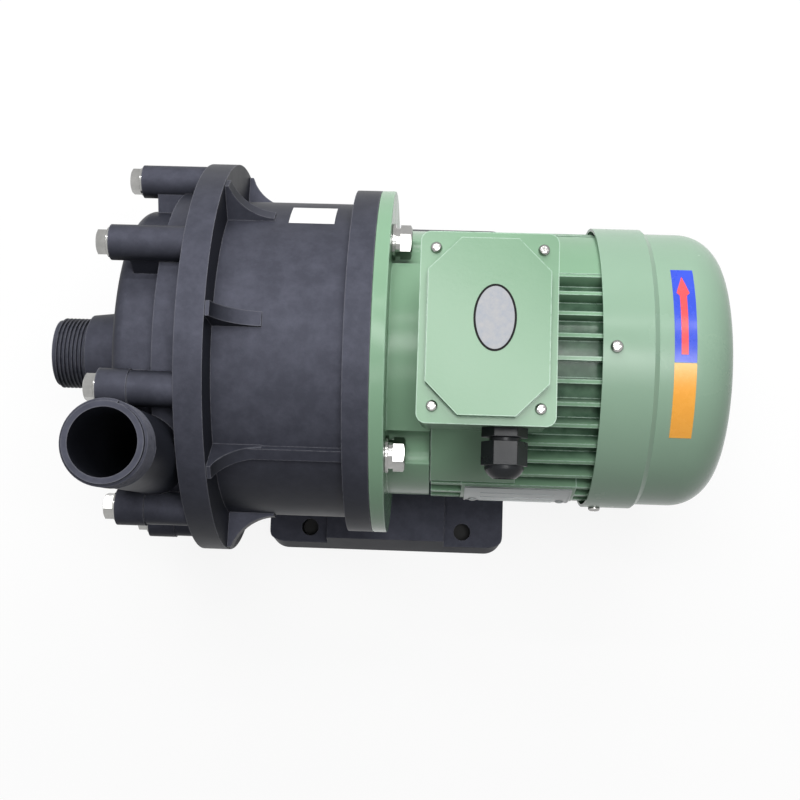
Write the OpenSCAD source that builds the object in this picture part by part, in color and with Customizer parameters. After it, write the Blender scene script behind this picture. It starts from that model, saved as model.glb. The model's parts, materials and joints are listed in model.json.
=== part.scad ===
// Magnetic drive pump with a flange-mounted electric motor, standing on a moulded base.
// Millimetres, +Z up, +X from the suction port to the fan end.
// The origin is the centre of the base's underside.
// Along the shaft, x is counted from the joint between pump bracket and motor flange.
// Angles round the shaft run from straight up towards +Y.

/* [Base] */
// Height of the shaft axis above the floor
axis_h = 118; // [115:1:130]
// Distance from the base's centre back to the joint of pump and motor
joint_back = 3; // [0:1:10]
// Length of the base along the shaft
base_len = 156; // [145:1:170]
// Width of the base across the shaft
base_w = 224; // [216:1:240]
// Height of the base's end feet
foot_h = 12; // [8:1:14]
// Length of each end foot
foot_len = 39; // [32:1:42]
// Height of the deck that carries the pump bracket
deck_h = 16; // [14:1:17]
// Height of the raised side blocks between the feet
block_h = 22; // [18:1:26]
// Rounding of the base's corners
base_corner = 12; // [6:1:16]
// Spacing of the floor bolt holes along the shaft
floor_dx = 102; // [98:1:112]
// Spacing of the floor bolt holes across the shaft
floor_dy = 196; // [190:1:200]
// Radius of the floor bolt holes
floor_hole_r = 5.5; // [4.5:0.5:6.5]
// Width of the bracket's foot
shoe_w = 104; // [90:2:110]
// Length of the bracket's foot
shoe_len = 56; // [50:1:62]
// Radius of the base bolts
base_bolt_r = 4; // [3:0.5:5]
// Spacing of the base bolts along the shaft
base_bolt_dx = 30; // [24:1:34]
// Spacing of the base bolts across the shaft
base_bolt_dy = 76; // [64:1:80]

/* [Pump casing] */
// Outer radius of the casing drum
drum_r = 85; // [80:1:88]
// Outer radius of the casing's rear band
band_r = 96; // [93:0.5:97]
// Length of the casing from its front wall to the bracket
casing_len = 40; // [37:1:46]
// Length of the rear band
band_len = 15; // [10:1:18]
// Wall of the casing
casing_wall = 8; // [6:0.5:9]
// Rounding of the drum's front edge
drum_edge = 7; // [3:0.5:10]
// Radius of the port pipes under the thread
port_r = 19.45; // [18.5:0.05:19.6]
// Radius of the port bores
port_bore_r = 16.5; // [14:0.5:17]
// Length of thread on each port
thread_len = 20; // [16:1:24]
// Length of the flared neck behind the suction thread
neck_len = 32; // [26:1:40]
// Radius of the suction neck at the casing
neck_r = 27; // [26:0.5:32]
// Height of the discharge mouth above the shaft axis
outlet_h = 155; // [130:1:170]
// Offset of the discharge pipe to the side
outlet_y = 63.5; // [62.5:0.5:66]
// Radius of the discharge pipe below its thread
outlet_neck_r = 20.4; // [20:0.1:21]
// Number of casing bolts
casing_bolts_n = 8; // [6:1:8]
// Angle of the first casing bolt from straight up
casing_bolt_turn = 27; // [22:0.5:30]
// Radius of the casing bolt circle
casing_bolt_pcr = 102; // [101:0.5:104]
// Radius of the casing bolt bosses
boss_r = 9.4; // [8.8:0.1:9.8]
// Radius of the thick front collar on the discharge-side bosses
boss_collar_r = 10.2; // [10:0.1:10.6]
// Length of that collar
boss_collar_len = 16; // [10:1:20]
// Radius of the casing bolts
casing_bolt_r = 4; // [3:0.5:4]

/* [Bracket] */
// Length of the bracket from casing to motor
bracket_len = 98; // [94:1:110]
// Radius of the bracket's tube
tube_r = 92; // [90:1:94]
// Inner radius of the bracket's tube
tube_bore_r = 80; // [76:1:83]
// Radius of the bracket's front flange
front_flange_r = 113; // [111:0.5:114]
// Thickness of the bracket's front flange
front_flange_t = 15; // [13.5:0.5:18]
// Thickness of the bracket's rear flange
rear_flange_t = 14; // [13.5:0.5:18]
// Width of the ribs behind the front flange
rib_w = 8; // [5:0.5:10]
// Length of the ribs along the shaft
rib_len = 26; // [20:1:32]
// Height of the long rib on the gland side of the tube
long_rib_h = 3; // [2:0.5:4]

/* [Pump inside] */
// Outer radius of the containment can
can_r = 47; // [44:0.5:47.5]
// Wall of the containment can
can_wall = 3; // [2:0.25:3.5]
// Thickness of the can's flange
can_flange_t = 6; // [4:0.5:7]
// Thickness of the can's closed end
can_end_t = 5; // [4:0.5:6]
// Radius of the pump shaft
pump_shaft_r = 7; // [6:0.5:7.5]
// Outer radius of the impeller
impeller_r = 60; // [54:1:64]
// Number of impeller vanes
vanes_n = 6; // [5:1:7]
// Radius of the section of the casing's sealing ring
o_ring_r = 1.8; // [1.4:0.1:2]
// Radial gap between the can and the magnets
magnet_gap = 1.6; // [1.2:0.1:2]
// Thickness of the outer magnets
magnet_t = 6; // [5:0.5:6.5]

/* [Motor flange] */
// Radius of the motor flange
flange_r = 100; // [96:1:102]
// Thickness of the motor flange
flange_t = 8; // [7:0.5:10]
// Radius of the flange bolt circle
flange_bolt_pcr = 82.5; // [81.5:0.5:84]
// Radius of the flange bolts
flange_bolt_r = 5; // [4:0.5:5.5]
// Radius of the flange's centring spigot
spigot_r = 65; // [64:0.5:66]
// Height of the spigot
spigot_h = 3.5; // [3:0.5:4]
// Length of the shaft beyond the flange
shaft_out = 40; // [36:1:42]
// Radius of the shaft's drive end
shaft_r = 9.5; // [9:0.5:9.5]

/* [Motor] */
// Length of the end shield's neck
neck2_len = 24; // [23:1:30]
// Radius of the end shield's neck
neck2_r = 77.5; // [76:0.5:78]
// Length of the finned frame
frame_len = 92; // [88:1:110]
// Radius of the frame between the fins
frame_r = 70; // [69.5:0.25:72]
// Wall of the frame between the fins
frame_wall = 8; // [7.5:0.25:9]
// Radius of the fin tips
fin_r = 78; // [76.5:0.5:78.5]
// Thickness of a fin
fin_t = 2.2; // [1.6:0.2:3]
// Angle from fin to fin
fin_step = 9; // [8:1:12]
// Radius of the rotor
rotor_r = 39.6; // [37:0.1:40]
// Air gap between rotor and stator
air_gap = 0.4; // [0.3:0.05:0.6]
// Radius of the bearings' bores
bearing_bore_r = 10; // [9.8:0.1:10.2]
// Outer radius of the bearings
bearing_r = 23.5; // [22.5:0.5:24]
// Width of the bearings
bearing_w = 14; // [12:1:14]
// Number of balls in a bearing
balls_n = 8; // [7:1:9]
// Radius of the balls
ball_r = 3.97; // [3.7:0.01:4.1]
// Radius of the tie bolts
tie_bolt_r = 2.5; // [2:0.25:2.75]

/* [Fan] */
// Radius of the fan
fan_r = 66; // [58:1:70]
// Number of fan blades
blades_n = 8; // [6:1:12]
// Radius of the fan cover's collar
cowl_r = 81.5; // [81:0.25:84]
// Length of the collar
cowl_collar_len = 27; // [24:1:32]
// Radius of the fan cover behind the collar
cowl_body_r = 79; // [77:0.5:80]
// Length of the fan cover
cowl_len = 73; // [71:1:82]
// Rounding of the fan cover's end
cowl_dome_r = 24; // [18:1:28]
// Sheet thickness of the fan cover
cowl_wall = 1.6; // [1:0.1:2]

/* [Terminal box] */
// Length of the terminal box along the shaft
tbox_l = 66; // [64:1:72]
// Width of the terminal box
tbox_w = 93; // [88:1:98]
// Height of the lid's top above the shaft axis
lid_top = 132; // [128:1:145]
// Underside of the terminal box above the shaft axis
tbox_under = 84; // [82:0.5:88]
// Wall of the terminal box
tbox_wall = 3.5; // [2.5:0.25:4]
// Rim of the lid beyond its raised middle
lid_rim = 4; // [3:0.25:5]
// Cut of the raised middle's corners
lid_cut = 16; // [14.5:0.5:18]
// Height of the lid's raised middle
lid_rise = 5.5; // [4:0.5:7]
// Offset of the cable gland from the box's middle
gland_x = 10.5; // [0:0.5:14]
// Radius of the cable gland's thread
gland_r = 8.3; // [8:0.1:9]
// Radius of cable that the gland takes
cable_r = 4.5; // [4:0.25:4.75]

/* [Nameplate] */
// Length of the nameplate
plate_len = 60; // [50:1:66]
// Angle at which the nameplate starts, counted down from the top
plate_from = 68; // [66:1:72]
// Angle that the nameplate covers
plate_sweep = 34; // [26:1:36]
// Thickness of the nameplate
plate_t = 0.8; // [0.5:0.1:1]

/* [Hidden] */
$fn = 96;
// Clearance of parts that are fixed in each other
seat = 0.05;
// Radial clearance of running fits
run = 0.05;
// Length by which a cut runs past the face that it opens
past = 1;

// Stations along the shaft
x_front = -bracket_len;
x_wall = x_front - casing_len;
x_chamber = x_wall + casing_wall;
x_band = x_front - band_len;
x_thread = x_wall - neck_len;
x_mouth = x_thread - thread_len;
x_outlet = x_wall + outlet_neck_r - 0.9;
x_frame = flange_t + neck2_len;
x_rear = x_frame + frame_len;

// Base
base_bolt_head_h = 6;
shoe_back = 18;
// Height at which the bracket's ribs end, and their depth in the wall under them
rib_step = 1.5;
rib_sink = 2;
long_rib_w = rib_w - 1;
shoe_x = -shoe_back - shoe_len / 2;

// Casing bolts, washers and inserts
washer_t = 1.6;
casing_head_h = 5.5;
casing_washer_r = 2 * casing_bolt_r;
insert_len = 12.5;
casing_insert_r = casing_bolt_r + 2;

// Containment can and what turns in it
can_flange_r = band_r - 4;
can_bore_r = can_r - can_wall;
hub_screw_h = 5;
hub_screw_r = 3;
hub_screw_head_r = 5.5;
hub_screw_len = 16;
hub_washer_t = 2;
hub_washer_in = 6;
can_end_gap = 3;
x_can_end = -shaft_out - hub_screw_h - can_end_gap;
x_can_floor = x_can_end - can_end_t;
can_boss_wall = 6;
can_boss_r = pump_shaft_r + can_boss_wall;
can_boss_h = 7;
x_can_boss = x_can_floor - can_boss_h;
thrust_t = 3;
x_thrust_rear = x_can_boss - thrust_t;
end_play = 0.5;
x_hub_rear = x_thrust_rear - end_play;
chamber_r = drum_r - casing_wall;
o_ring_pcr = chamber_r + 7;

// Shaft support in the suction bore
spider_r = 21;
spider_t = 3.5;
spider_len = 14;
spider_hub_r = pump_shaft_r + 4;
x_spider = x_chamber - spider_len - 2;
x_spider_end = x_spider + spider_len;
x_thrust_front = x_spider_end + thrust_t;
x_bush = x_thrust_front + end_play;
bush_r = pump_shaft_r + 5;
hub_r = bush_r + 7;
eye_r = 21;
shroud_t = 3.5;
x_eye = x_chamber + 2.5;
x_shroud = x_eye + 4;
x_back = x_front - 6;
magnet_in_r = can_bore_r - magnet_gap;
magnet_out_r = can_r + magnet_gap;
x_magnet = x_front + can_flange_t + 3;
x_magnet_end = x_can_floor - 8;
yoke_r = magnet_out_r + magnet_t;
yoke_t = 5;
cup_t = 7;
hub2_r = shaft_r + 10;
x_hub_end = -spigot_h - 3;

// Motor flange fasteners
flat_washer_t = 2;
spring_washer_t = 2.5;
flange_head_h = 6.4;
flange_washer_r = 2 * flange_bolt_r;
flange_insert_r = flange_bolt_r + 2;
flange_insert_len = 12;
pocket_r = flange_washer_r + 3;

// Motor bearings, seal and shaft
x_brg_front = 12;
x_brg_rear = x_rear - 1;
brg_wall = 6;
ball_pcr = (bearing_bore_r + bearing_r) / 2;
race_h = ball_r - 1.3;
spring_t = 1;
seal_r = shaft_r + 6.5;
shaft_mid_r = bearing_bore_r + 4;
x_core = x_frame + 16;
x_core_end = x_rear - 14;
winding_len = 12;
end_ring_t = 5;
shaft_tail_r = bearing_bore_r - 2;
x_shield_end = x_brg_rear + bearing_w + spring_t + 4;
x_fan = x_shield_end + 5;
fan_len = 20;
fan_t = 2.5;
x_fan_end = x_fan + fan_len;
circlip_t = 1.2;
x_tail = x_fan_end + circlip_t + 3;
key_w = 6;
key_len = 24;
key_deep = 3.5;
x_key = x_hub_end - 4 - key_len;
// Inner radius of the frame
frame_bore_r = frame_r - frame_wall;
tie_bolt_pcr = (frame_bore_r + frame_r) / 2;
tie_head_h = 4;
shield_t = 9;

// Fan cover
cowl_lap = 3;
x_cowl = x_rear - cowl_lap;
cowl_screw_r = 1.7;
cowl_screw_x = x_cowl + 7;
cowl_lug_w = 14;
cowl_lug_len = 2 * (cowl_screw_x - x_rear);
cowl_step = 3;

// Terminal box
tbox_x = x_frame + tbox_l / 2 - 6;
tbox_floor_t = 4;
lid_plate_t = 6;
gasket_t = 1.5;
tbox_top = lid_top - lid_rise - lid_plate_t - gasket_t;
tbox_corner = 5;
lid_over = 1;
lid_screw_r = 1.5;
lid_screw_dx = tbox_l / 2 - 6.7;
lid_screw_dy = tbox_w / 2 - 7.5;
lid_post_r = 5;
pedestal_l = tbox_l - 12;
pedestal_w = tbox_w - 20;
block_l = 24;
block_w = 44;
block_t = 16;
gland_h = (tbox_under + tbox_top) / 2 + 2;
gland_hex_t = 5;
gland_body_len = 9;
gland_nut_len = 20;
gland_hex_r = gland_r + 3.4;
gland_dome_r = gland_r + 1.6;

// Nameplate and the smooth pads of the frame
pad_r = fin_r + 0.5;
fin_back = 1;
pad_edge = 2;
far_pad = [32, 62];
near_pad = [-64, -30];
plate_x = x_frame + 20;
rivet_r = 1.6;

// Colours as seen on the object
c_plastic = [0.14, 0.14, 0.17];
c_green = [0.43, 0.60, 0.48];
c_zinc = [0.78, 0.79, 0.80];
c_steel = [0.62, 0.63, 0.65];
c_brass = [0.80, 0.66, 0.36];
c_rubber = [0.08, 0.08, 0.09];
c_ceramic = [0.93, 0.91, 0.86];
c_carbon = [0.20, 0.20, 0.21];
c_magnet = [0.35, 0.35, 0.38];
c_copper = [0.72, 0.42, 0.24];
c_iron = [0.40, 0.41, 0.43];
c_alu = [0.72, 0.73, 0.74];

// Places children at station x with their own z along the shaft
module along(x) {
    translate([x - joint_back, 0, axis_h]) rotate([0, 90, 0]) children();
}

// Places children at an angle from straight up and a radius, inside along()
module polar(angle, r) {
    rotate([0, 0, 180 - angle]) translate([r, 0, 0]) children();
}

// Places children over the shaft axis at station x, height counted from the axis
module above(x, y = 0, h = 0) {
    translate([x - joint_back, y, axis_h + h]) children();
}

// Solid rod from station x0 to x1
module rod(x0, x1, r) {
    along(x0) cylinder(h = x1 - x0, r = r);
}

// Tube from station x0 to x1
module ring(x0, x1, r_in, r_out) {
    along(x0) difference() {
        cylinder(h = x1 - x0, r = r_out);
        translate([0, 0, -past]) cylinder(h = x1 - x0 + 2 * past, r = r_in);
    }
}

// Hexagon prism with a given radius over its corners
module hex(h, r) {
    cylinder(h = h, r = r, $fn = 6);
}

// Corner radius of a hexagon head on a bolt of radius r
function head_r(r) = 1.62 * r / cos(30);

// Box with four rounded upright edges, standing on z = 0 and centred
module rounded_box(l, w, h, r) {
    linear_extrude(h) rounded_rect(l, w, r);
}

module rounded_rect(l, w, r) {
    union() {
        square([l - 2 * r, w], center = true);
        square([l, w - 2 * r], center = true);
        for (i = [-1, 1], j = [-1, 1])
            translate([i * (l / 2 - r), j * (w / 2 - r)]) circle(r);
    }
}

// Places children at the four corners of a rectangle
module corners(dx, dy) {
    for (i = [-1, 1], j = [-1, 1])
        translate([i * dx, j * dy, 0]) children();
}

function casing_angle(i) = casing_bolt_turn + i * 360 / casing_bolts_n;

module at_casing_bolts() {
    for (i = [0 : casing_bolts_n - 1]) polar(casing_angle(i), casing_bolt_pcr) children();
}

module at_flange_bolts() {
    for (i = [0 : 3]) polar(45 + 90 * i, flange_bolt_pcr) children();
}

module at_tie_bolts() {
    for (i = [0 : 3]) polar(90 * i, tie_bolt_pcr) children();
}

// Base

module at_base_bolts() {
    translate([shoe_x - joint_back, 0, 0]) corners(base_bolt_dx / 2, base_bolt_dy / 2) children();
}

module base() {
    color(c_plastic) difference() {
        union() {
            rounded_box(base_len, base_w, foot_h, base_corner);
            translate([0, 0, deck_h / 2]) cube([base_len - 2 * foot_len, base_w, deck_h], center = true);
            translate([-base_len / 2, -shoe_w / 2, 0])
                cube([base_len - foot_len, shoe_w, deck_h]);
            for (side = [-1, 1]) translate([0, side * (base_w + shoe_w + 16) / 4, block_h / 2])
                cube([base_len - 2 * foot_len, (base_w - shoe_w - 16) / 2, block_h], center = true);
        }
        corners(floor_dx / 2, floor_dy / 2)
            translate([0, 0, -past]) cylinder(h = block_h + 2 * past, r = floor_hole_r);
        at_base_bolts() {
            translate([0, 0, -past]) cylinder(h = deck_h + 2 * past, r = base_bolt_r + 0.5);
            translate([0, 0, -past]) cylinder(h = base_bolt_head_h + 1 + past, r = head_r(base_bolt_r) + 1);
        }
    }
}

module base_bolts() {
    color(c_zinc) at_base_bolts() {
        translate([0, 0, 1]) hex(base_bolt_head_h, head_r(base_bolt_r));
        translate([0, 0, 1 + base_bolt_head_h / 2])
            cylinder(h = deck_h + 12 - base_bolt_head_h / 2, r = base_bolt_r);
    }
}

// Bracket between pump and motor

module bracket_rib() {
    reach = front_flange_r - tube_r;
    hollow_r = (rib_len * rib_len + reach * reach) / (2 * reach);
    translate([-rib_w / 2, 0, 0]) rotate([90, 0, 90]) linear_extrude(rib_w) difference() {
        translate([-rib_sink, -rib_sink]) square([reach - 1 + rib_sink, rib_len + rib_sink]);
        translate([hollow_r + rib_step, rib_len + rib_step]) circle(hollow_r);
    }
}

module bracket() {
    color(c_plastic) difference() {
        union() {
            rod(x_front, x_front + front_flange_t, front_flange_r);
            rod(x_front, 0, tube_r);
            rod(-rear_flange_t, 0, flange_r);
            along(x_front + front_flange_t)
                for (i = [0 : casing_bolts_n - 1])
                    polar(casing_angle(i) - 180 / casing_bolts_n, tube_r) rotate([0, 0, -90]) bracket_rib();
            along(x_front + front_flange_t + rib_len / 2)
                polar(casing_angle(casing_bolts_n - 1) - 180 / casing_bolts_n, tube_r - rib_sink)
                    translate([0, -long_rib_w / 2, 0]) cube([long_rib_h + rib_sink, long_rib_w,
                        bracket_len - front_flange_t - rear_flange_t - rib_len / 2 + past]);
            above(shoe_x, 0, deck_h - axis_h)
                translate([-shoe_len / 2, -shoe_w / 2, 0]) cube([shoe_len, shoe_w, axis_h - deck_h - tube_r / 2]);
        }
        rod(x_front - past, x_front + can_flange_t, can_flange_r + seat);
        rod(x_front, -rear_flange_t, tube_bore_r);
        rod(-rear_flange_t - past, past, spigot_r + seat);
        along(x_front - past) at_casing_bolts()
            cylinder(h = insert_len + past, r = casing_insert_r + seat);
        along(-flange_insert_len) at_flange_bolts()
            cylinder(h = flange_insert_len + past, r = flange_insert_r + seat);
        translate([0, 0, deck_h - past]) at_base_bolts()
            cylinder(h = 13 + past, r = base_bolt_r + seat);
    }
}

// Pump casing and its fasteners

module drum() {
    along(x_wall) mirror([0, 0, 1]) translate([0, 0, -casing_len]) rotate_extrude() union() {
        square([drum_r - drum_edge, casing_len]);
        square([drum_r, casing_len - drum_edge]);
        translate([drum_r - drum_edge, casing_len - drum_edge]) circle(drum_edge);
    }
}

module casing_boss(collar) {
    rotate([0, 0, 90]) cylinder(h = casing_len, r = boss_r);
    translate([boss_r / 2 - casing_bolt_pcr + drum_r - drum_edge - 4, -boss_r * 0.7, drum_edge + 2])
        cube([casing_bolt_pcr - drum_r + drum_edge + 4, boss_r * 1.4, casing_len - drum_edge - 2 - band_len / 2]);
    if (collar) cylinder(h = boss_collar_len, r = boss_collar_r);
}

module front_casing() {
    color(c_plastic) difference() {
        union() {
            drum();
            rod(x_band, x_front, band_r);
            rod(x_mouth, x_thread + past, port_r);
            along(x_thread) cylinder(h = neck_len + 2, r1 = port_r + 3.5, r2 = neck_r);
            along(x_wall) for (i = [0 : casing_bolts_n - 1])
                polar(casing_angle(i), casing_bolt_pcr) casing_boss(casing_angle(i) > 180);
            above(x_outlet, -outlet_y) {
                cylinder(h = outlet_h, r = port_r);
                cylinder(h = outlet_h - thread_len, r = outlet_neck_r);
            }
        }
        rod(x_mouth - past, x_spider + past, port_bore_r);
        rod(x_spider, x_chamber + past, spider_r + seat);
        rod(x_chamber, x_front + past, chamber_r);
        above(x_outlet, -outlet_y, chamber_r / 3) cylinder(h = outlet_h, r = port_bore_r);
        ring(x_front - 2 * o_ring_r - seat, x_front + past,
            o_ring_pcr - o_ring_r - 0.6, o_ring_pcr + o_ring_r + 0.6);
        along(x_wall - past) at_casing_bolts() cylinder(h = casing_len + 2 * past, r = casing_bolt_r + 0.5);
    }
}

module casing_bolts() {
    color(c_zinc) along(x_wall - washer_t - casing_head_h) at_casing_bolts() {
        hex(casing_head_h, head_r(casing_bolt_r));
        translate([0, 0, casing_head_h / 2])
            cylinder(h = casing_head_h / 2 + washer_t + casing_len + insert_len - 1, r = casing_bolt_r);
    }
}

module casing_washers() {
    color(c_zinc) along(x_wall - washer_t) at_casing_bolts() difference() {
        cylinder(h = washer_t, r = casing_washer_r);
        translate([0, 0, -past]) cylinder(h = washer_t + 2 * past, r = casing_bolt_r + 0.2);
    }
}

module casing_inserts() {
    color(c_brass) along(x_front) at_casing_bolts() difference() {
        cylinder(h = insert_len, r = casing_insert_r);
        translate([0, 0, -past]) cylinder(h = insert_len + 2 * past, r = casing_bolt_r + seat);
    }
}

module casing_o_ring() {
    color(c_rubber) along(x_front - o_ring_r) rotate_extrude() translate([o_ring_pcr, 0]) circle(o_ring_r);
}

// Containment can and the fixed shaft in it

module rear_casing() {
    color(c_carbon) difference() {
        union() {
            rod(x_front, x_front + can_flange_t, can_flange_r);
            rod(x_front, x_can_end, can_r);
        }
        difference() {
            rod(x_front - past, x_can_floor, can_bore_r);
            rod(x_can_boss, x_can_floor + past, can_boss_r);
        }
        rod(x_can_boss - past, x_can_floor + 2, pump_shaft_r + seat);
    }
}

module pump_shaft() {
    color(c_ceramic) rod(x_spider + 3 + seat, x_can_floor + 2 - seat, pump_shaft_r);
}

module shaft_support() {
    color(c_plastic) difference() {
        union() {
            ring(x_spider, x_spider_end, spider_r - spider_t, spider_r);
            rod(x_spider, x_spider_end, spider_hub_r);
            along(x_spider) for (i = [0 : 2]) rotate([0, 0, 120 * i])
                translate([0, -spider_t / 2, 0]) cube([spider_r - spider_t / 2, spider_t, spider_len]);
        }
        rod(x_spider + 3, x_spider_end + past, pump_shaft_r + seat);
    }
}

module front_thrust_ring() {
    color(c_ceramic) ring(x_spider_end, x_thrust_front, pump_shaft_r + seat, spider_hub_r);
}

module rear_thrust_ring() {
    color(c_ceramic) ring(x_thrust_rear, x_can_boss, pump_shaft_r + seat, can_boss_r - 0.5);
}

// Impeller with its magnet, bush and mouth ring

module vane() {
    bend_r = impeller_r * 0.6;
    intersection() {
        translate([0, bend_r, 0]) difference() {
            cylinder(h = x_back - x_shroud, r = bend_r);
            translate([0, 0, -past]) cylinder(h = x_back - x_shroud + 2 * past, r = bend_r - 3);
        }
        difference() {
            cylinder(h = x_back - x_shroud, r = impeller_r - 1);
            translate([0, 0, -past]) cylinder(h = x_back - x_shroud + 2 * past, r = eye_r + 2);
        }
        translate([0, -impeller_r, 0]) cube([impeller_r, 2 * impeller_r, x_back - x_shroud]);
    }
}

module impeller() {
    color(c_plastic) difference() {
        union() {
            rod(x_bush, x_hub_rear, hub_r);
            rod(x_back - shroud_t, x_back, impeller_r);
            ring(x_shroud, x_shroud + shroud_t, eye_r, impeller_r);
            along(x_shroud) for (i = [0 : vanes_n - 1]) rotate([0, 0, 360 / vanes_n * i]) vane();
        }
        rod(x_bush - past, x_hub_rear + past, bush_r + seat);
    }
}

module mouth_ring() {
    color(c_carbon) ring(x_eye, x_shroud, eye_r, eye_r + 5);
}

module impeller_magnet() {
    color(c_magnet) ring(x_magnet, x_magnet_end, hub_r + seat, magnet_in_r);
}

module impeller_bush() {
    color(c_carbon) ring(x_bush, x_hub_rear, pump_shaft_r + run, bush_r);
}

// Drive magnets on the motor shaft

module shaft_key() {
    color(c_steel) above(x_key, 0, shaft_r - key_deep) translate([0, -key_w / 2, 0]) cube([key_len, key_w, key_w]);
}

module drive_magnet_hub() {
    color(c_iron) difference() {
        union() {
            rod(-shaft_out, x_hub_end, hub2_r);
            rod(-shaft_out, -shaft_out + cup_t, yoke_r + yoke_t);
            ring(x_magnet, -shaft_out + cup_t, yoke_r, yoke_r + yoke_t);
        }
        rod(-shaft_out - past, x_hub_end + past, shaft_r + seat);
        above(-shaft_out - past, 0, 0) translate([0, -key_w / 2 - seat, 0])
            cube([shaft_out + x_hub_end + 2 * past, key_w + 2 * seat, shaft_r - key_deep + key_w + seat]);
    }
}

module drive_magnets() {
    color(c_magnet) along(x_magnet) for (i = [0 : 7]) rotate([0, 0, 45 * i])
        rotate_extrude(angle = 42) translate([magnet_out_r, 0])
            square([magnet_t - seat, x_magnet_end - x_magnet]);
}

module hub_screw() {
    color(c_zinc) {
        rod(-shaft_out - hub_washer_t, -shaft_out, hub2_r - hub_washer_in);
        along(-shaft_out - hub_screw_h) hex(hub_screw_h - hub_washer_t / 2, hub_screw_head_r);
        rod(-shaft_out - hub_washer_t, -shaft_out + hub_screw_len, hub_screw_r);
    }
}

// Motor: end shields, frame, stator and their fasteners

module front_end_shield() {
    color(c_green) difference() {
        union() {
            rod(-spigot_h, 0, spigot_r);
            rod(0, flange_t, flange_r);
            rod(0, x_frame, neck2_r);
        }
        difference() {
            rod(flange_t + 6, x_frame + past, frame_bore_r - 2);
            rod(0, x_brg_front + bearing_w, bearing_r + brg_wall);
        }
        rod(x_brg_front, x_frame, bearing_r + seat);
        rod(2, x_brg_front + past, seal_r + seat);
        rod(-spigot_h - past, x_frame, shaft_r + 1);
        along(-past) at_flange_bolts() cylinder(h = flange_t + 2 * past, r = flange_bolt_r + 1);
        along(flange_t) at_flange_bolts() cylinder(h = x_frame, r = pocket_r);
        along(x_frame - 12) at_tie_bolts() cylinder(h = 12 + past, r = tie_bolt_r + seat);
    }
}

module flange_bolts() {
    color(c_zinc) along(-flange_insert_len + 1) at_flange_bolts() {
        cylinder(h = flange_insert_len + flange_t + flat_washer_t + spring_washer_t, r = flange_bolt_r);
        translate([0, 0, flange_insert_len - 1 + flange_t + flat_washer_t + spring_washer_t])
            hex(flange_head_h, head_r(flange_bolt_r));
    }
}

module flange_washers() {
    color(c_zinc) along(flange_t) at_flange_bolts() {
        difference() {
            cylinder(h = flat_washer_t, r = flange_washer_r);
            translate([0, 0, -past]) cylinder(h = flat_washer_t + 2 * past, r = flange_bolt_r + 0.2);
        }
        translate([0, 0, flat_washer_t + seat]) difference() {
            cylinder(h = spring_washer_t - 2 * seat, r = flange_washer_r - 1.2);
            translate([0, 0, -past]) cylinder(h = spring_washer_t + 2 * past, r = flange_bolt_r + 0.2);
        }
    }
}

module flange_inserts() {
    color(c_brass) along(-flange_insert_len) at_flange_bolts() difference() {
        cylinder(h = flange_insert_len, r = flange_insert_r);
        translate([0, 0, -past]) cylinder(h = flange_insert_len + 2 * past, r = flange_bolt_r + seat);
    }
}

module shaft_seal() {
    color(c_rubber) ring(2, x_brg_front - 2, shaft_r + run, seal_r);
}

// Smooth sector between two angles on the frame, from station x0 to x1
module frame_pad(x0, x1, from, to) {
    along(x0) rotate([0, 0, 180 - to]) rotate_extrude(angle = to - from)
        translate([frame_r - 1, 0]) square([pad_r - frame_r + 1, x1 - x0]);
}

module stator_frame() {
    color(c_green) difference() {
        union() {
            rod(x_frame, x_rear, frame_r);
            along(x_frame) for (a = [0 : fin_step : 360 - fin_step]) polar(a + fin_step / 2, 0)
                translate([frame_r - 1, -fin_t / 2, fin_back])
                    cube([fin_r - frame_r + 1, fin_t, frame_len - 2 * fin_back]);
            frame_pad(x_frame + fin_back / 2, x_rear - fin_back / 2, far_pad[0], far_pad[1]);
            frame_pad(x_frame + fin_back / 2, tbox_x + gland_x + gland_dome_r, near_pad[0], near_pad[1]);
            frame_pad(plate_x - pad_edge, plate_x + plate_len + pad_edge,
                -plate_from - plate_sweep - pad_edge, -plate_from + pad_edge);
            above(tbox_x, 0, frame_bore_r) translate([-pedestal_l / 2 + 5, -pedestal_w / 2, -frame_bore_r / 3])
                cube([pedestal_l, pedestal_w, tbox_under - frame_bore_r * 2 / 3]);
        }
        rod(x_frame - past, x_rear + past, frame_bore_r);
        along(x_frame - past) at_tie_bolts() cylinder(h = frame_len + 2 * past, r = tie_bolt_r + 0.25);
        above(tbox_x + 5, 0, frame_bore_r - 5) cylinder(h = tbox_under, r = 9);
        above(tbox_x + 5, 0, tbox_under - 10) corners(pedestal_l / 2 - 8, pedestal_w / 2 - 8)
            cylinder(h = 10 + past, r = lid_screw_r + seat);
        along(plate_x) at_rivets() cylinder(h = 6, r = rivet_r + seat);
    }
}

module stator_core() {
    color(c_iron) ring(x_core, x_core_end, rotor_r + air_gap, frame_bore_r - seat);
}

module windings() {
    color(c_copper) {
        ring(x_core - winding_len, x_core, rotor_r + air_gap + 3, frame_bore_r - 4);
        ring(x_core_end, x_core_end + winding_len, rotor_r + air_gap + 3, frame_bore_r - 4);
    }
}

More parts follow.
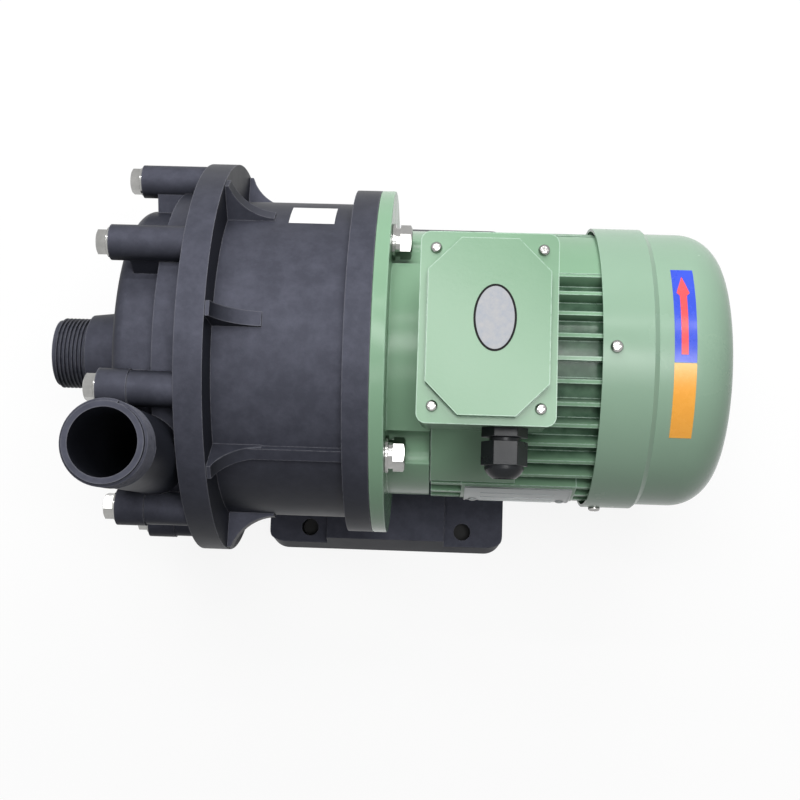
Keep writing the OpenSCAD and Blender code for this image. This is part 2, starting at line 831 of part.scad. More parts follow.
module rear_end_shield() {
    color(c_green) difference() {
        union() {
            rod(x_rear, x_rear + shield_t, frame_r);
            rod(x_brg_rear - 2, x_shield_end, bearing_r + brg_wall);
            along(x_rear) for (i = [0 : 3]) polar(90 * i, 0) translate([frame_r - 6, -cowl_lug_w / 2, 0])
                cube([cowl_r - cowl_wall - seat - frame_r + 5.5, cowl_lug_w, cowl_lug_len]);
        }
        rod(x_brg_rear - 2 - past, x_brg_rear + bearing_w + spring_t, bearing_r + seat);
        rod(x_rear, x_shield_end + past, shaft_tail_r + 1);
        along(x_rear - past) at_tie_bolts() cylinder(h = cowl_lug_len + 2 * past, r = tie_bolt_r + 0.25);
        along(x_rear + shield_t) at_tie_bolts() cylinder(h = cowl_lug_len, r = 2 * tie_bolt_r + 0.5);
        along(cowl_screw_x) at_cowl_screws(frame_r + 1) cylinder(h = cowl_r, r = cowl_screw_r + seat);
    }
}

module tie_bolts() {
    color(c_zinc) along(x_frame - 11) at_tie_bolts() {
        cylinder(h = 11 + frame_len + shield_t, r = tie_bolt_r);
        translate([0, 0, 11 + frame_len + shield_t]) hex(tie_head_h, 1.9 * tie_bolt_r);
    }
}

module motor_shaft() {
    color(c_steel) difference() {
        union() {
            rod(-shaft_out, x_brg_front, shaft_r);
            rod(x_brg_front, x_brg_front + bearing_w, bearing_bore_r);
            rod(x_brg_front + bearing_w, x_core, bearing_bore_r + 2);
            rod(x_core, x_core_end, shaft_mid_r);
            rod(x_core_end, x_brg_rear, bearing_bore_r + 2);
            rod(x_brg_rear, x_brg_rear + bearing_w, bearing_bore_r);
            rod(x_brg_rear + bearing_w, x_tail, shaft_tail_r);
        }
        above(x_key - seat, 0, shaft_r - key_deep) translate([0, -key_w / 2 - seat, -seat])
            cube([key_len + 2 * seat, key_w + 2 * seat, key_w]);
        rod(-shaft_out - past, -shaft_out + hub_screw_len + 1, hub_screw_r + seat);
        ring(x_fan_end, x_fan_end + circlip_t, shaft_tail_r - 0.8, shaft_tail_r + past);
    }
}

module rotor_core() {
    color(c_iron) {
        ring(x_core, x_core_end, shaft_mid_r + seat, rotor_r);
        ring(x_core - end_ring_t, x_core, rotor_r - 14, rotor_r - 2);
        ring(x_core_end, x_core_end + end_ring_t, rotor_r - 14, rotor_r - 2);
    }
}

module wave_spring() {
    color(c_steel) ring(x_brg_rear + bearing_w, x_brg_rear + bearing_w + spring_t, bearing_r - 3.5, bearing_r - 0.3);
}

// Ball bearings

module bearing_ring(x, r_in, r_out) {
    color(c_steel) along(x) rotate_extrude() difference() {
        translate([r_in, 0]) square([r_out - r_in, bearing_w]);
        translate([ball_pcr, bearing_w / 2]) circle(ball_r + run);
    }
}

module bearing_balls(x) {
    color(c_zinc) along(x + bearing_w / 2) for (i = [0 : balls_n - 1])
        polar(360 / balls_n * i, ball_pcr) sphere(ball_r);
}

module front_bearing_outer() { bearing_ring(x_brg_front, ball_pcr + race_h, bearing_r); }
module front_bearing_inner() { bearing_ring(x_brg_front, bearing_bore_r + seat, ball_pcr - race_h); }
module front_bearing_balls() { bearing_balls(x_brg_front); }
module rear_bearing_outer() { bearing_ring(x_brg_rear, ball_pcr + race_h, bearing_r); }
module rear_bearing_inner() { bearing_ring(x_brg_rear, bearing_bore_r + seat, ball_pcr - race_h); }
module rear_bearing_balls() { bearing_balls(x_brg_rear); }

// Fan and fan cover

module cooling_fan() {
    color(c_plastic) difference() {
        union() {
            rod(x_fan, x_fan_end, shaft_tail_r + 5);
            rod(x_fan, x_fan + fan_t, fan_r * 0.62);
            along(x_fan) for (i = [0 : blades_n - 1]) rotate([0, 0, 360 / blades_n * i])
                translate([shaft_tail_r + 2, -fan_t / 2, 0])
                    cube([fan_r - shaft_tail_r - 2, fan_t, fan_len]);
        }
        rod(x_fan - past, x_fan_end + past, shaft_tail_r + seat);
    }
}

module fan_circlip() {
    color(c_steel) ring(x_fan_end + 0.1, x_fan_end + circlip_t - 0.1, shaft_tail_r - 0.8 + seat, shaft_tail_r + 2.5);
}

// Half outline of the fan cover, drawn in by a depth
module cowl_profile(deep) {
    end = cowl_len - deep;
    body = cowl_body_r - deep;
    dome = cowl_dome_r - deep;
    union() {
        square([cowl_r - deep, cowl_collar_len]);
        polygon([[0, cowl_collar_len], [cowl_r - deep, cowl_collar_len],
            [body, cowl_collar_len + cowl_step], [0, cowl_collar_len + cowl_step]]);
        square([body, end - dome]);
        square([body - dome, end]);
        translate([body - dome, end - dome]) circle(dome);
    }
}

module cowl_slots(r, length, count) {
    for (i = [0 : count - 1]) rotate([0, 0, 360 / count * (i + 0.5)])
        translate([r, -2, cowl_len - cowl_wall - past]) cube([length, 4, cowl_wall + 2 * past]);
}

module fan_cover() {
    color(c_green) difference() {
        along(x_cowl) difference() {
            rotate_extrude() cowl_profile(0);
            rotate_extrude() cowl_profile(cowl_wall);
            translate([0, 0, -past]) cylinder(h = past * 2, r = cowl_r - cowl_wall);
            cowl_slots(14, 15, 16);
            cowl_slots(33, (cowl_body_r - cowl_dome_r) - 34, 32);
        }
        along(cowl_screw_x) at_cowl_screws(frame_r) cylinder(h = cowl_r, r = cowl_screw_r + 0.3);
    }
}

// Radial screw places round the fan cover, starting at radius r
module at_cowl_screws(r) {
    for (i = [0 : 3]) rotate([0, 0, 90 * i]) translate([r, 0, 0]) rotate([0, 90, 0]) children();
}

module fan_cover_screws() {
    color(c_zinc) along(cowl_screw_x) {
        at_cowl_screws(frame_r + 1.5) cylinder(h = cowl_r - frame_r, r = cowl_screw_r);
        at_cowl_screws(cowl_r + seat) cylinder(h = 2.4, r = 2 * cowl_screw_r);
    }
}

// Terminal box

module terminal_box() {
    color(c_green) difference() {
        above(tbox_x, 0, tbox_under) difference() {
            rounded_box(tbox_l, tbox_w, tbox_top - tbox_under, tbox_corner);
            difference() {
                translate([0, 0, tbox_floor_t])
                    rounded_box(tbox_l - 2 * tbox_wall, tbox_w - 2 * tbox_wall, tbox_top, tbox_corner - 2);
                corners(lid_screw_dx, lid_screw_dy) cylinder(h = tbox_top, r = lid_post_r);
            }
            corners(lid_screw_dx, lid_screw_dy) translate([0, 0, tbox_floor_t + 8])
                cylinder(h = tbox_top, r = lid_screw_r + seat);
            translate([5, 0, -past]) cylinder(h = tbox_floor_t + 2 * past, r = 9);
            translate([5, 0, -past]) corners(pedestal_l / 2 - 8, pedestal_w / 2 - 8)
                cylinder(h = tbox_floor_t + 2 * past, r = lid_screw_r + 0.3);
        }
        gland_frame(-tbox_wall - past) cylinder(h = tbox_wall + 2 * past, r = gland_r + seat);
    }
}

module box_screws() {
    color(c_zinc) above(tbox_x + 5, 0, tbox_under) corners(pedestal_l / 2 - 8, pedestal_w / 2 - 8) {
        translate([0, 0, -8]) cylinder(h = 8 + tbox_floor_t, r = lid_screw_r);
        translate([0, 0, tbox_floor_t]) cylinder(h = 2.4, r = 2 * lid_screw_r);
    }
}

module box_gasket() {
    color(c_rubber) above(tbox_x, 0, tbox_top) linear_extrude(gasket_t) difference() {
        rounded_rect(tbox_l, tbox_w, tbox_corner);
        difference() {
            rounded_rect(tbox_l - 2 * tbox_wall, tbox_w - 2 * tbox_wall, tbox_corner - 2);
            for (i = [-1, 1], j = [-1, 1]) translate([i * lid_screw_dx, j * lid_screw_dy]) circle(lid_post_r);
        }
        for (i = [-1, 1], j = [-1, 1]) translate([i * lid_screw_dx, j * lid_screw_dy]) circle(lid_screw_r + 0.3);
    }
}

module lid_plateau() {
    l = tbox_l / 2 + lid_over - lid_rim;
    w = tbox_w / 2 + lid_over - lid_rim;
    linear_extrude(lid_rise) polygon([
        [l, w - lid_cut], [l - lid_cut, w], [lid_cut - l, w], [-l, w - lid_cut],
        [-l, lid_cut - w], [lid_cut - l, -w], [l - lid_cut, -w], [l, lid_cut - w]
    ]);
}

module terminal_lid() {
    color(c_green) above(tbox_x, 0, tbox_top + gasket_t) difference() {
        union() {
            rounded_box(tbox_l + 2 * lid_over, tbox_w + 2 * lid_over, lid_plate_t, tbox_corner);
            translate([0, 0, lid_plate_t]) lid_plateau();
        }
        corners(lid_screw_dx, lid_screw_dy) translate([0, 0, -past])
            cylinder(h = lid_plate_t + 2 * past, r = lid_screw_r + 0.3);
    }
}

module lid_screws() {
    color(c_zinc) above(tbox_x, 0, tbox_top + gasket_t + lid_plate_t) corners(lid_screw_dx, lid_screw_dy) {
        translate([0, 0, -lid_plate_t - gasket_t - 14])
            cylinder(h = lid_plate_t + gasket_t + 14.5, r = lid_screw_r);
        translate([0, 0, seat]) cylinder(h = 2.4, r = 1.9 * lid_screw_r);
    }
}

module at_studs() {
    above(tbox_x - 16, 0, tbox_under + tbox_floor_t) for (i = [-1, 1], j = [-1, 0, 1])
        translate([i * block_l / 4, j * block_w / 3.3, 0]) children();
}

module terminal_block() {
    color(c_carbon) difference() {
        above(tbox_x - 16, 0, tbox_under + tbox_floor_t) rounded_box(block_l, block_w, block_t, 3);
        at_studs() translate([0, 0, 4]) cylinder(h = block_t, r = 2 + seat);
    }
}

module terminal_studs() {
    color(c_brass) at_studs() {
        translate([0, 0, 4 + seat]) cylinder(h = block_t + 4, r = 2);
        translate([0, 0, block_t]) hex(2.5, 3.8);
    }
}

// Places children on the box's side wall with their own z pointing out of it
module gland_frame(out) {
    above(tbox_x + gland_x, -tbox_w / 2 - out, gland_h) rotate([90, 0, 0]) children();
}

module gland_body() {
    color(c_plastic) gland_frame(0) difference() {
        union() {
            translate([0, 0, -tbox_wall - 6]) cylinder(h = tbox_wall + 7, r = gland_r);
            rotate([0, 0, 30]) hex(gland_hex_t, gland_hex_r);
            cylinder(h = gland_hex_t + gland_body_len, r = gland_r - 0.5);
        }
        translate([0, 0, -tbox_wall - 7]) cylinder(h = tbox_wall + 8 + gland_hex_t, r = cable_r + 0.6);
        translate([0, 0, gland_hex_t]) cylinder(h = gland_body_len + past, r = cable_r + 2 + seat);
    }
}

module gland_seal() {
    color(c_rubber) gland_frame(gland_hex_t) difference() {
        cylinder(h = gland_body_len + 3, r = cable_r + 2);
        translate([0, 0, -past]) cylinder(h = gland_body_len + 3 + 2 * past, r = cable_r);
    }
}

module gland_nut() {
    color(c_plastic) gland_frame(gland_hex_t + 2) difference() {
        union() {
            rotate([0, 0, 30]) hex(gland_nut_len * 0.6, gland_hex_r);
            rotate_extrude() intersection() {
                translate([0, gland_nut_len - gland_dome_r - 1]) circle(gland_dome_r + 1);
                square([gland_dome_r, gland_nut_len]);
            }
        }
        translate([0, 0, -past]) cylinder(h = gland_body_len + 1.5 + past, r = gland_r - 0.5 + seat);
        translate([0, 0, -past]) cylinder(h = gland_nut_len + 2 * past, r = cable_r + 1);
    }
}

// Nameplate

module at_rivets() {
    for (x = [5, plate_len - 5]) translate([0, 0, x])
        rotate([0, 0, 180 + plate_from + plate_sweep / 2]) translate([pad_r - 5, 0, 0])
            rotate([0, 90, 0]) children();
}

module nameplate() {
    color(c_alu) along(plate_x) difference() {
        rotate([0, 0, 180 + plate_from]) rotate_extrude(angle = plate_sweep)
            translate([pad_r + seat, 0]) square([plate_t, plate_len]);
        at_rivets() cylinder(h = 10, r = rivet_r + seat);
    }
}

module nameplate_rivets() {
    color(c_alu) along(plate_x) at_rivets() {
        translate([0, 0, 0.5]) cylinder(h = 4.6 + plate_t, r = rivet_r);
        translate([0, 0, 5 + plate_t + 2 * seat]) cylinder(h = 1, r = rivet_r + 0.9);
    }
}

base();
base_bolts();
bracket();
front_casing();
casing_bolts();
casing_washers();
casing_inserts();
casing_o_ring();
rear_casing();
pump_shaft();
shaft_support();
front_thrust_ring();
rear_thrust_ring();
impeller();
mouth_ring();
impeller_magnet();
impeller_bush();
drive_magnet_hub();
drive_magnets();
hub_screw();
shaft_key();
front_end_shield();
flange_bolts();
flange_washers();
flange_inserts();
shaft_seal();
stator_frame();
stator_core();
windings();
rear_end_shield();
tie_bolts();
motor_shaft();
rotor_core();
wave_spring();
front_bearing_outer();
front_bearing_inner();
front_bearing_balls();
rear_bearing_outer();
rear_bearing_inner();
rear_bearing_balls();
cooling_fan();
fan_circlip();
fan_cover();
fan_cover_screws();
terminal_box();
box_screws();
box_gasket();
terminal_lid();
lid_screws();
terminal_block();
terminal_studs();
gland_body();
gland_nut();
gland_seal();
nameplate();
nameplate_rivets();
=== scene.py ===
import json
from math import cos, pi, radians, sin

import bmesh
import bpy
from mathutils import Matrix, Vector


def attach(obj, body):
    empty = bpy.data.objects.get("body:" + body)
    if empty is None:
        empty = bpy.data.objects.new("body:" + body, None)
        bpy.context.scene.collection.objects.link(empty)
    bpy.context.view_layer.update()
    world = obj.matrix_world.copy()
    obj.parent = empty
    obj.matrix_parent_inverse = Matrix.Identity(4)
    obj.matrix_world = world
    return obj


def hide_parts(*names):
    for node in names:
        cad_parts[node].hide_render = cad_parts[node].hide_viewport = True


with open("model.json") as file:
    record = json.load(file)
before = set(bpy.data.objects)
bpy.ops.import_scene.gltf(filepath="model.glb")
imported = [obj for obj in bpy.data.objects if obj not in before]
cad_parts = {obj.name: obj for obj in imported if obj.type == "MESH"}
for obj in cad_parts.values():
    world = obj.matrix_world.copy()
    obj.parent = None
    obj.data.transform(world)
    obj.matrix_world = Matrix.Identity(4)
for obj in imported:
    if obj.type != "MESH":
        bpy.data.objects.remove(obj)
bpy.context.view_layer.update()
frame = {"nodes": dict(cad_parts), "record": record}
mm = 0.001
axisHeight = 118 * mm  # the shaft's line over the floor
white = (1, 1, 1, 1)


def addObject(name, data):
    made = bpy.data.objects.new(name, data)
    bpy.context.scene.collection.objects.link(made)
    return made


# camera: close above the pump, leaning a little towards the gland side
cameraView = {
    "place": (0.03358, -0.10184, 0.81583),
    "right": (0.99898, 0.03393, -0.02977),
    "up": (-0.03032, 0.99297, 0.11438),
    "lens": 53.54,
    "sensor": 36,
    "nearest": 0.01,
}


def makeCamera(view):
    camData = bpy.data.cameras.new("camera")
    camData.sensor_fit = "HORIZONTAL"
    camData.sensor_width = view["sensor"]
    camData.lens = view["lens"]
    camData.clip_start = view["nearest"]
    cam = addObject("camera", camData)
    right = Vector(view["right"]).normalized()
    back = right.cross(Vector(view["up"])).normalized()
    up = back.cross(right)
    turn = Matrix((right, up, back)).transposed()
    cam.matrix_world = Matrix.Translation(view["place"]) @ turn.to_4x4()
    bpy.context.scene.camera = cam


makeCamera(cameraView)
print("camera set")

# light: a panel overhead, a broad one on the far side, a slim strip between them
# and a small lamp near the camera, all turned to the middle of the pump
lampAim = (0, 0, 0.12)
lamps = [
    {"name": "topPanel", "place": (0.08, 0.13, 1.3), "size": (0.9, 0.22), "watts": 8.6, "mirrored": True},
    {"name": "sidePanel", "place": (0.0, 1.0, 0.6), "size": (1.2, 0.7), "watts": 10.5, "mirrored": False},
    {"name": "slimStrip", "place": (0.0, 0.5, 1.05), "size": (1.0, 0.05), "watts": 3.0, "mirrored": True},
    {"name": "nearLamp", "place": (0.06, -0.3, 1.3), "size": (0.7, 0.2), "watts": 2.2, "mirrored": True},
]


def makeLamps(rows):
    for row in rows:
        lampData = bpy.data.lights.new(row["name"], "AREA")
        lampData.shape = "RECTANGLE"
        lampData.size, lampData.size_y = row["size"]
        lampData.energy = row["watts"]
        lamp = addObject(row["name"], lampData)
        lamp.visible_glossy = row["mirrored"]  # the side panel's glare would whiten the flat lid
        aim = Vector(lampAim) - Vector(row["place"])
        turn = aim.to_track_quat("-Z", "Y").to_matrix()
        lamp.matrix_world = Matrix.Translation(row["place"]) @ turn.to_4x4()


makeLamps(lamps)


def addNode(tree, kind, inputs=None, **settings):
    made = tree.nodes.new(kind)
    for key, value in settings.items():
        setattr(made, key, value)
    for key, value in (inputs or {}).items():
        if isinstance(value, bpy.types.NodeSocket):
            tree.links.new(value, made.inputs[key])
        else:
            made.inputs[key].default_value = value
    return made


def maths(tree, operation, first, second=0.0):
    return addNode(tree, "ShaderNodeMath", {0: first, 1: second}, operation=operation).outputs[0]


def mapped(tree, value, source=(0.0, 1.0), target=(0.0, 1.0)):
    made = addNode(tree, "ShaderNodeMapRange", {
        "Value": value, "From Min": source[0], "From Max": source[1],
        "To Min": target[0], "To Max": target[1]})
    return made.outputs[0]


def noise(tree, place, scale, detail, roughness=0.5):
    made = addNode(tree, "ShaderNodeTexNoise", {
        "Vector": place, "Scale": scale, "Detail": detail, "Roughness": roughness})
    return made.outputs["Fac"]


def objectPlace(tree):
    return addNode(tree, "ShaderNodeTexCoord").outputs["Object"]


def seenRays(tree):
    path = addNode(tree, "ShaderNodeLightPath").outputs
    direct = maths(tree, "MAXIMUM", path["Is Camera Ray"], path["Is Glossy Ray"])
    return maths(tree, "MAXIMUM", direct, path["Is Transmission Ray"])


studio = {
    "worldLight": 0.1,  # the world's strength where it lights the pump
    "floorSize": 6.0,
    "floorGlow": 0.88,  # share of the floor's look that glows where it is seen
    "floorSeen": 0.9,  # the floor's colour where it is seen
    "floorBounce": 0.18,  # and where it throws light back at the pump
    "shade": (0.066, 0.106),  # half sides of the painted shadow under the base
    "shadeLevel": 0.06,
}


def makeWorld():
    world = bpy.data.worlds.new("studio")
    bpy.context.scene.world = world
    world.use_nodes = True
    tree = world.node_tree
    tree.nodes.clear()
    level = mapped(tree, seenRays(tree), target=(studio["worldLight"], 1.0))
    glow = addNode(tree, "ShaderNodeBackground", {"Color": white, "Strength": level})
    addNode(tree, "ShaderNodeOutputWorld", {"Surface": glow.outputs[0]})


def makeFloor():
    side = studio["floorSize"] / 2
    corners = [(-side, -side, 0), (side, -side, 0), (side, side, 0), (-side, side, 0)]
    mesh = bpy.data.meshes.new("floor")
    mesh.from_pydata(corners, [], [(0, 1, 2, 3)])
    floor = addObject("floor", mesh)
    mat = bpy.data.materials.new("paleFloor")
    mat.use_nodes = True
    tree = mat.node_tree
    tree.nodes.clear()
    seen = seenRays(tree)
    spot = addNode(tree, "ShaderNodeSeparateXYZ", {0: objectPlace(tree)}).outputs
    pastEnd, pastSide = [maths(tree, "GREATER_THAN", maths(tree, "ABSOLUTE", spot[axis]), half)
                         for axis, half in zip("XY", studio["shade"])]
    around = maths(tree, "MAXIMUM", pastEnd, pastSide)  # 0 under the base, 1 around it
    # painted shadow: under the base the floor loses its glow and takes the dark shade level
    shown = maths(tree, "MULTIPLY", seen, around)
    share = maths(tree, "MULTIPLY", shown, studio["floorGlow"])
    level = mapped(tree, seen, target=(studio["floorBounce"], studio["floorSeen"]))
    paint = mapped(tree, around, target=(studio["shadeLevel"], level))
    matt = addNode(tree, "ShaderNodeBsdfDiffuse", {"Color": paint})
    glow = addNode(tree, "ShaderNodeEmission", {"Color": white, "Strength": 1.0})
    both = addNode(tree, "ShaderNodeMixShader", {0: share, 1: matt.outputs[0], 2: glow.outputs[0]})
    addNode(tree, "ShaderNodeOutputMaterial", {"Surface": both.outputs[0]})
    mesh.materials.append(mat)


makeWorld()
makeFloor()
bpy.context.scene.view_settings.view_transform = "Standard"
print("studio set")


def newGroup(name, inputs, outputs):
    tree = bpy.data.node_groups.new(name, "ShaderNodeTree")
    for socketName, value in inputs.items():
        made = tree.interface.new_socket(name=socketName, in_out="INPUT", socket_type="NodeSocketFloat")
        made.default_value = value
    for socketName in outputs:
        tree.interface.new_socket(name=socketName, in_out="OUTPUT", socket_type="NodeSocketFloat")
    return tree, addNode(tree, "NodeGroupInput").outputs, addNode(tree, "NodeGroupOutput").inputs


# where each mask begins and where it is full
maskRanges = {
    "edge": (0.985, 0.86),  # match of the softened and the plain normal
    "wearHighlightSpeck": (0.42, 0.62),
    "facingUp": (0.35, 1.0),
    "dustTopLightCloud": (0.4, 0.75),
    "grimeCloud": (0.3, 0.6),
}


# pale wear along the edges, and on the green paint a painted highlight along the edges, broken up by noise
def makeEdgeWearAndHighlight():
    tree, into, out = newGroup("edgeWearAndHighlight", {"Width": 0.001, "Breakup": 220.0, "Cover": 0.0}, ["Mask"])
    soft = addNode(tree, "ShaderNodeBevel", {"Radius": into["Width"]}, samples=4)
    flat = addNode(tree, "ShaderNodeNewGeometry")
    match = addNode(tree, "ShaderNodeVectorMath", {0: soft.outputs[0], 1: flat.outputs["Normal"]},
                    operation="DOT_PRODUCT")
    edge = mapped(tree, match.outputs["Value"], maskRanges["edge"])
    speck = noise(tree, objectPlace(tree), into["Breakup"], 4.0)
    keep = mapped(tree, maths(tree, "ADD", speck, into["Cover"]), maskRanges["wearHighlightSpeck"])
    tree.links.new(maths(tree, "MULTIPLY", edge, keep), out["Mask"])
    return tree


# clouds of dust on what faces up, and painted top light: upward faces made lighter as if lit from above
def makeDustAndTopLight():
    tree, into, out = newGroup("dustAndTopLight", {"Scale": 60.0, "Amount": 0.3, "Even": 0.0}, ["Mask"])
    flat = addNode(tree, "ShaderNodeNewGeometry")
    parts = addNode(tree, "ShaderNodeSeparateXYZ", {0: flat.outputs["Normal"]})
    upward = mapped(tree, parts.outputs["Z"], maskRanges["facingUp"])
    cloud = noise(tree, objectPlace(tree), into["Scale"], 8.0, 0.7)
    patch = mapped(tree, cloud, maskRanges["dustTopLightCloud"], (into["Even"], 1.0))
    mask = maths(tree, "MULTIPLY", upward, patch)
    tree.links.new(maths(tree, "MULTIPLY", mask, into["Amount"]), out["Mask"])
    return tree


# fine height for the bump, broad clouds for colour and gloss
def makeSurfaceGrain():
    tree, into, out = newGroup("surfaceGrain", {"Fine": 900.0, "Broad": 40.0}, ["Height", "Cloud"])
    place = objectPlace(tree)
    tree.links.new(noise(tree, place, into["Fine"], 3.0), out["Height"])
    tree.links.new(noise(tree, place, into["Broad"], 6.0, 0.6), out["Cloud"])
    return tree


# painted shade between the cooling fins, deeper towards the shaft's line
def makeGapShade():
    tree, into, out = newGroup("gapShade", {
        "Axis height": 0.118, "Root radius": 0.071, "Tip radius": 0.077, "Amount": 0.7}, ["Mask"])
    place = objectPlace(tree)
    spot = addNode(tree, "ShaderNodeSeparateXYZ", {0: place}).outputs
    high = maths(tree, "SUBTRACT", spot["Z"], into["Axis height"])
    across = addNode(tree, "ShaderNodeCombineXYZ", {"Y": spot["Y"], "Z": high})
    radius = addNode(tree, "ShaderNodeVectorMath", {0: across.outputs[0]}, operation="LENGTH")
    deep = mapped(tree, radius.outputs["Value"], (into["Tip radius"], into["Root radius"]))
    cloud = noise(tree, place, 120.0, 6.0)
    patch = mapped(tree, cloud, maskRanges["grimeCloud"], (0.7, 1.0))
    mask = maths(tree, "MULTIPLY", deep, patch)
    tree.links.new(maths(tree, "MULTIPLY", mask, into["Amount"]), out["Mask"])
    return tree


groups = {"edgeWearAndHighlight": makeEdgeWearAndHighlight(), "dustAndTopLight": makeDustAndTopLight(),
          "surfaceGrain": makeSurfaceGrain(), "gapShade": makeGapShade()}


def useGroup(tree, name, inputs):
    return addNode(tree, "ShaderNodeGroup", inputs, node_tree=groups[name]).outputs


def mixColour(tree, mask, first, second):
    made = addNode(tree, "ShaderNodeMix", {0: mask, 6: first, 7: second}, data_type="RGBA")
    return made.outputs[2]  # 6, 7 and 2 are the colour sockets


# what all finishes share
finishDetail = {"dustTopLightScale": 90.0, "wearHighlightBreakup": 260.0, "cloudSpread": (0.25, 0.75), "bumpDepth": 0.0004}


def surfaceMaterial(name, look):
    mat = bpy.data.materials.new(name)
    mat.use_nodes = True
    tree = mat.node_tree
    tree.nodes.clear()
    grain = useGroup(tree, "surfaceGrain", {"Fine": look["fine"], "Broad": look["broad"]})
    colour = mixColour(tree, grain["Cloud"], look["dark"], look["light"])
    # dust on what faces up, and on the black plastic painted top light
    if "dustTopLight" in look:
        dustTopLight = useGroup(tree, "dustAndTopLight", {
            "Scale": finishDetail["dustTopLightScale"], "Amount": look["dustTopLight"], "Even": look.get("even", 0.0)})
        colour = mixColour(tree, dustTopLight["Mask"], colour, look["dustTopLightColour"])
    # painted shade in the gaps of finned parts
    if "grime" in look:
        grime = useGroup(tree, "gapShade", look["grime"])
        colour = mixColour(tree, grime["Mask"], colour, look["grimeColour"])
    # pale edges: wear, and on the green paint a painted highlight
    if "wear" in look:
        wear = useGroup(tree, "edgeWearAndHighlight", {
            "Width": look["wear"], "Breakup": finishDetail["wearHighlightBreakup"],
            "Cover": look.get("wearCover", 0.0)})
        colour = mixColour(tree, wear["Mask"], colour, look["wearColour"])
    rough = mapped(tree, grain["Cloud"], finishDetail["cloudSpread"], look["rough"])
    bump = addNode(tree, "ShaderNodeBump", {
        "Height": grain["Height"], "Strength": look["bump"], "Distance": finishDetail["bumpDepth"]})
    shader = addNode(tree, "ShaderNodeBsdfPrincipled", {
        "Base Color": colour, "Roughness": rough, "Normal": bump.outputs[0],
        "Metallic": look.get("metal", 0.0), "Specular IOR Level": look.get("specular", 0.5),
        "Specular Tint": look.get("tint", white)})
    addNode(tree, "ShaderNodeOutputMaterial", {"Surface": shader.outputs[0]})
    return mat


def grey(level, tint=(1, 1, 1)):
    return (level * tint[0], level * tint[1], level * tint[2], 1)


# fine and broad are the scales of the grain, the edge entry is the width in metres of a pale edge: a worn
# edge, and on the green paint also a painted highlight
finishes = {
    "black_plastic": {
        "dark": (0.0085, 0.0093, 0.0125, 1), "light": (0.0145, 0.0158, 0.021, 1), "fine": 1400, "broad": 25,
        "rough": (0.38, 0.5), "bump": 0.1, "specular": 0.1, "tint": (0.76, 0.79, 1, 1),
        # painted top light: the black plastic's upward faces turn a pale bluish grey, with some dust
        "dustTopLight": 0.56, "even": 0.6, "dustTopLightColour": (0.135, 0.139, 0.18, 1),
        "wear": 0.0011, "wearColour": (0.12, 0.122, 0.14, 1), "wearCover": 0.14},
    "green_casting": {
        "dark": (0.178, 0.312, 0.2, 1), "light": (0.214, 0.358, 0.238, 1), "fine": 650, "broad": 18,
        "rough": (0.16, 0.28), "bump": 0.08, "specular": 0.2,
        # painted highlight: pale, nearly unbroken edges on the green paint, with some wear
        "wear": 0.0011, "wearColour": (0.46, 0.62, 0.51, 1), "wearCover": 0.14},
    "green_sheet": {
        "dark": (0.222, 0.34, 0.246, 1), "light": (0.258, 0.384, 0.286, 1), "fine": 500, "broad": 14,
        "rough": (0.2, 0.3), "bump": 0.05, "specular": 0.22,
        "wear": 0.0008, "wearColour": (0.3, 0.46, 0.34, 1)},
    "zinc_steel": {
        "dark": grey(0.25, (1, 1, 0.97)), "light": grey(0.46, (1, 0.99, 0.96)), "fine": 1200, "broad": 160,
        "rough": (0.12, 0.24), "bump": 0.06, "metal": 1.0},
    "steel": {
        "dark": grey(0.42), "light": grey(0.6), "fine": 1500, "broad": 120,
        "rough": (0.18, 0.32), "bump": 0.04, "metal": 1.0},
    "brass": {
        "dark": (0.5, 0.33, 0.11, 1), "light": (0.66, 0.46, 0.18, 1), "fine": 1300, "broad": 140,
        "rough": (0.22, 0.36), "bump": 0.05, "metal": 1.0},
    "rubber": {
        "dark": grey(0.014), "light": grey(0.026), "fine": 1800, "broad": 60,
        "rough": (0.6, 0.78), "bump": 0.15},
    "ceramic": {
        "dark": grey(0.72, (1, 0.98, 0.93)), "light": grey(0.82, (1, 0.98, 0.93)), "fine": 1600, "broad": 50,
        "rough": (0.18, 0.28), "bump": 0.03},
    "carbon": {
        "dark": grey(0.02), "light": grey(0.04), "fine": 1700, "broad": 90,
        "rough": (0.35, 0.5), "bump": 0.08},
    "magnet": {
        "dark": grey(0.2), "light": grey(0.3), "fine": 1500, "broad": 100,
        "rough": (0.3, 0.45), "bump": 0.06, "metal": 1.0},
    "iron": {
        "dark": grey(0.1, (1, 0.97, 0.94)), "light": grey(0.19, (1, 0.97, 0.94)), "fine": 900, "broad": 80,
        "rough": (0.42, 0.6), "bump": 0.12, "metal": 0.9},
    "copper": {
        "dark": (0.36, 0.13, 0.06, 1), "light": (0.58, 0.25, 0.12, 1), "fine": 1200, "broad": 200,
        "rough": (0.28, 0.42), "bump": 0.15, "metal": 1.0},
    "nylon": {
        "dark": grey(0.01, (0.9, 1, 1.15)), "light": grey(0.018, (0.9, 1, 1.15)), "fine": 1500, "broad": 70,
        "rough": (0.24, 0.34), "bump": 0.08, "specular": 0.16,
        "dustTopLight": 0.05, "dustTopLightColour": (0.2, 0.2, 0.21, 1)},
    "alu_plate": {
        "dark": grey(0.2, (0.93, 1, 1)), "light": grey(0.28, (0.95, 1, 1)), "fine": 1500, "broad": 120,
        "rough": (0.28, 0.42), "bump": 0.05, "metal": 0.7},
}
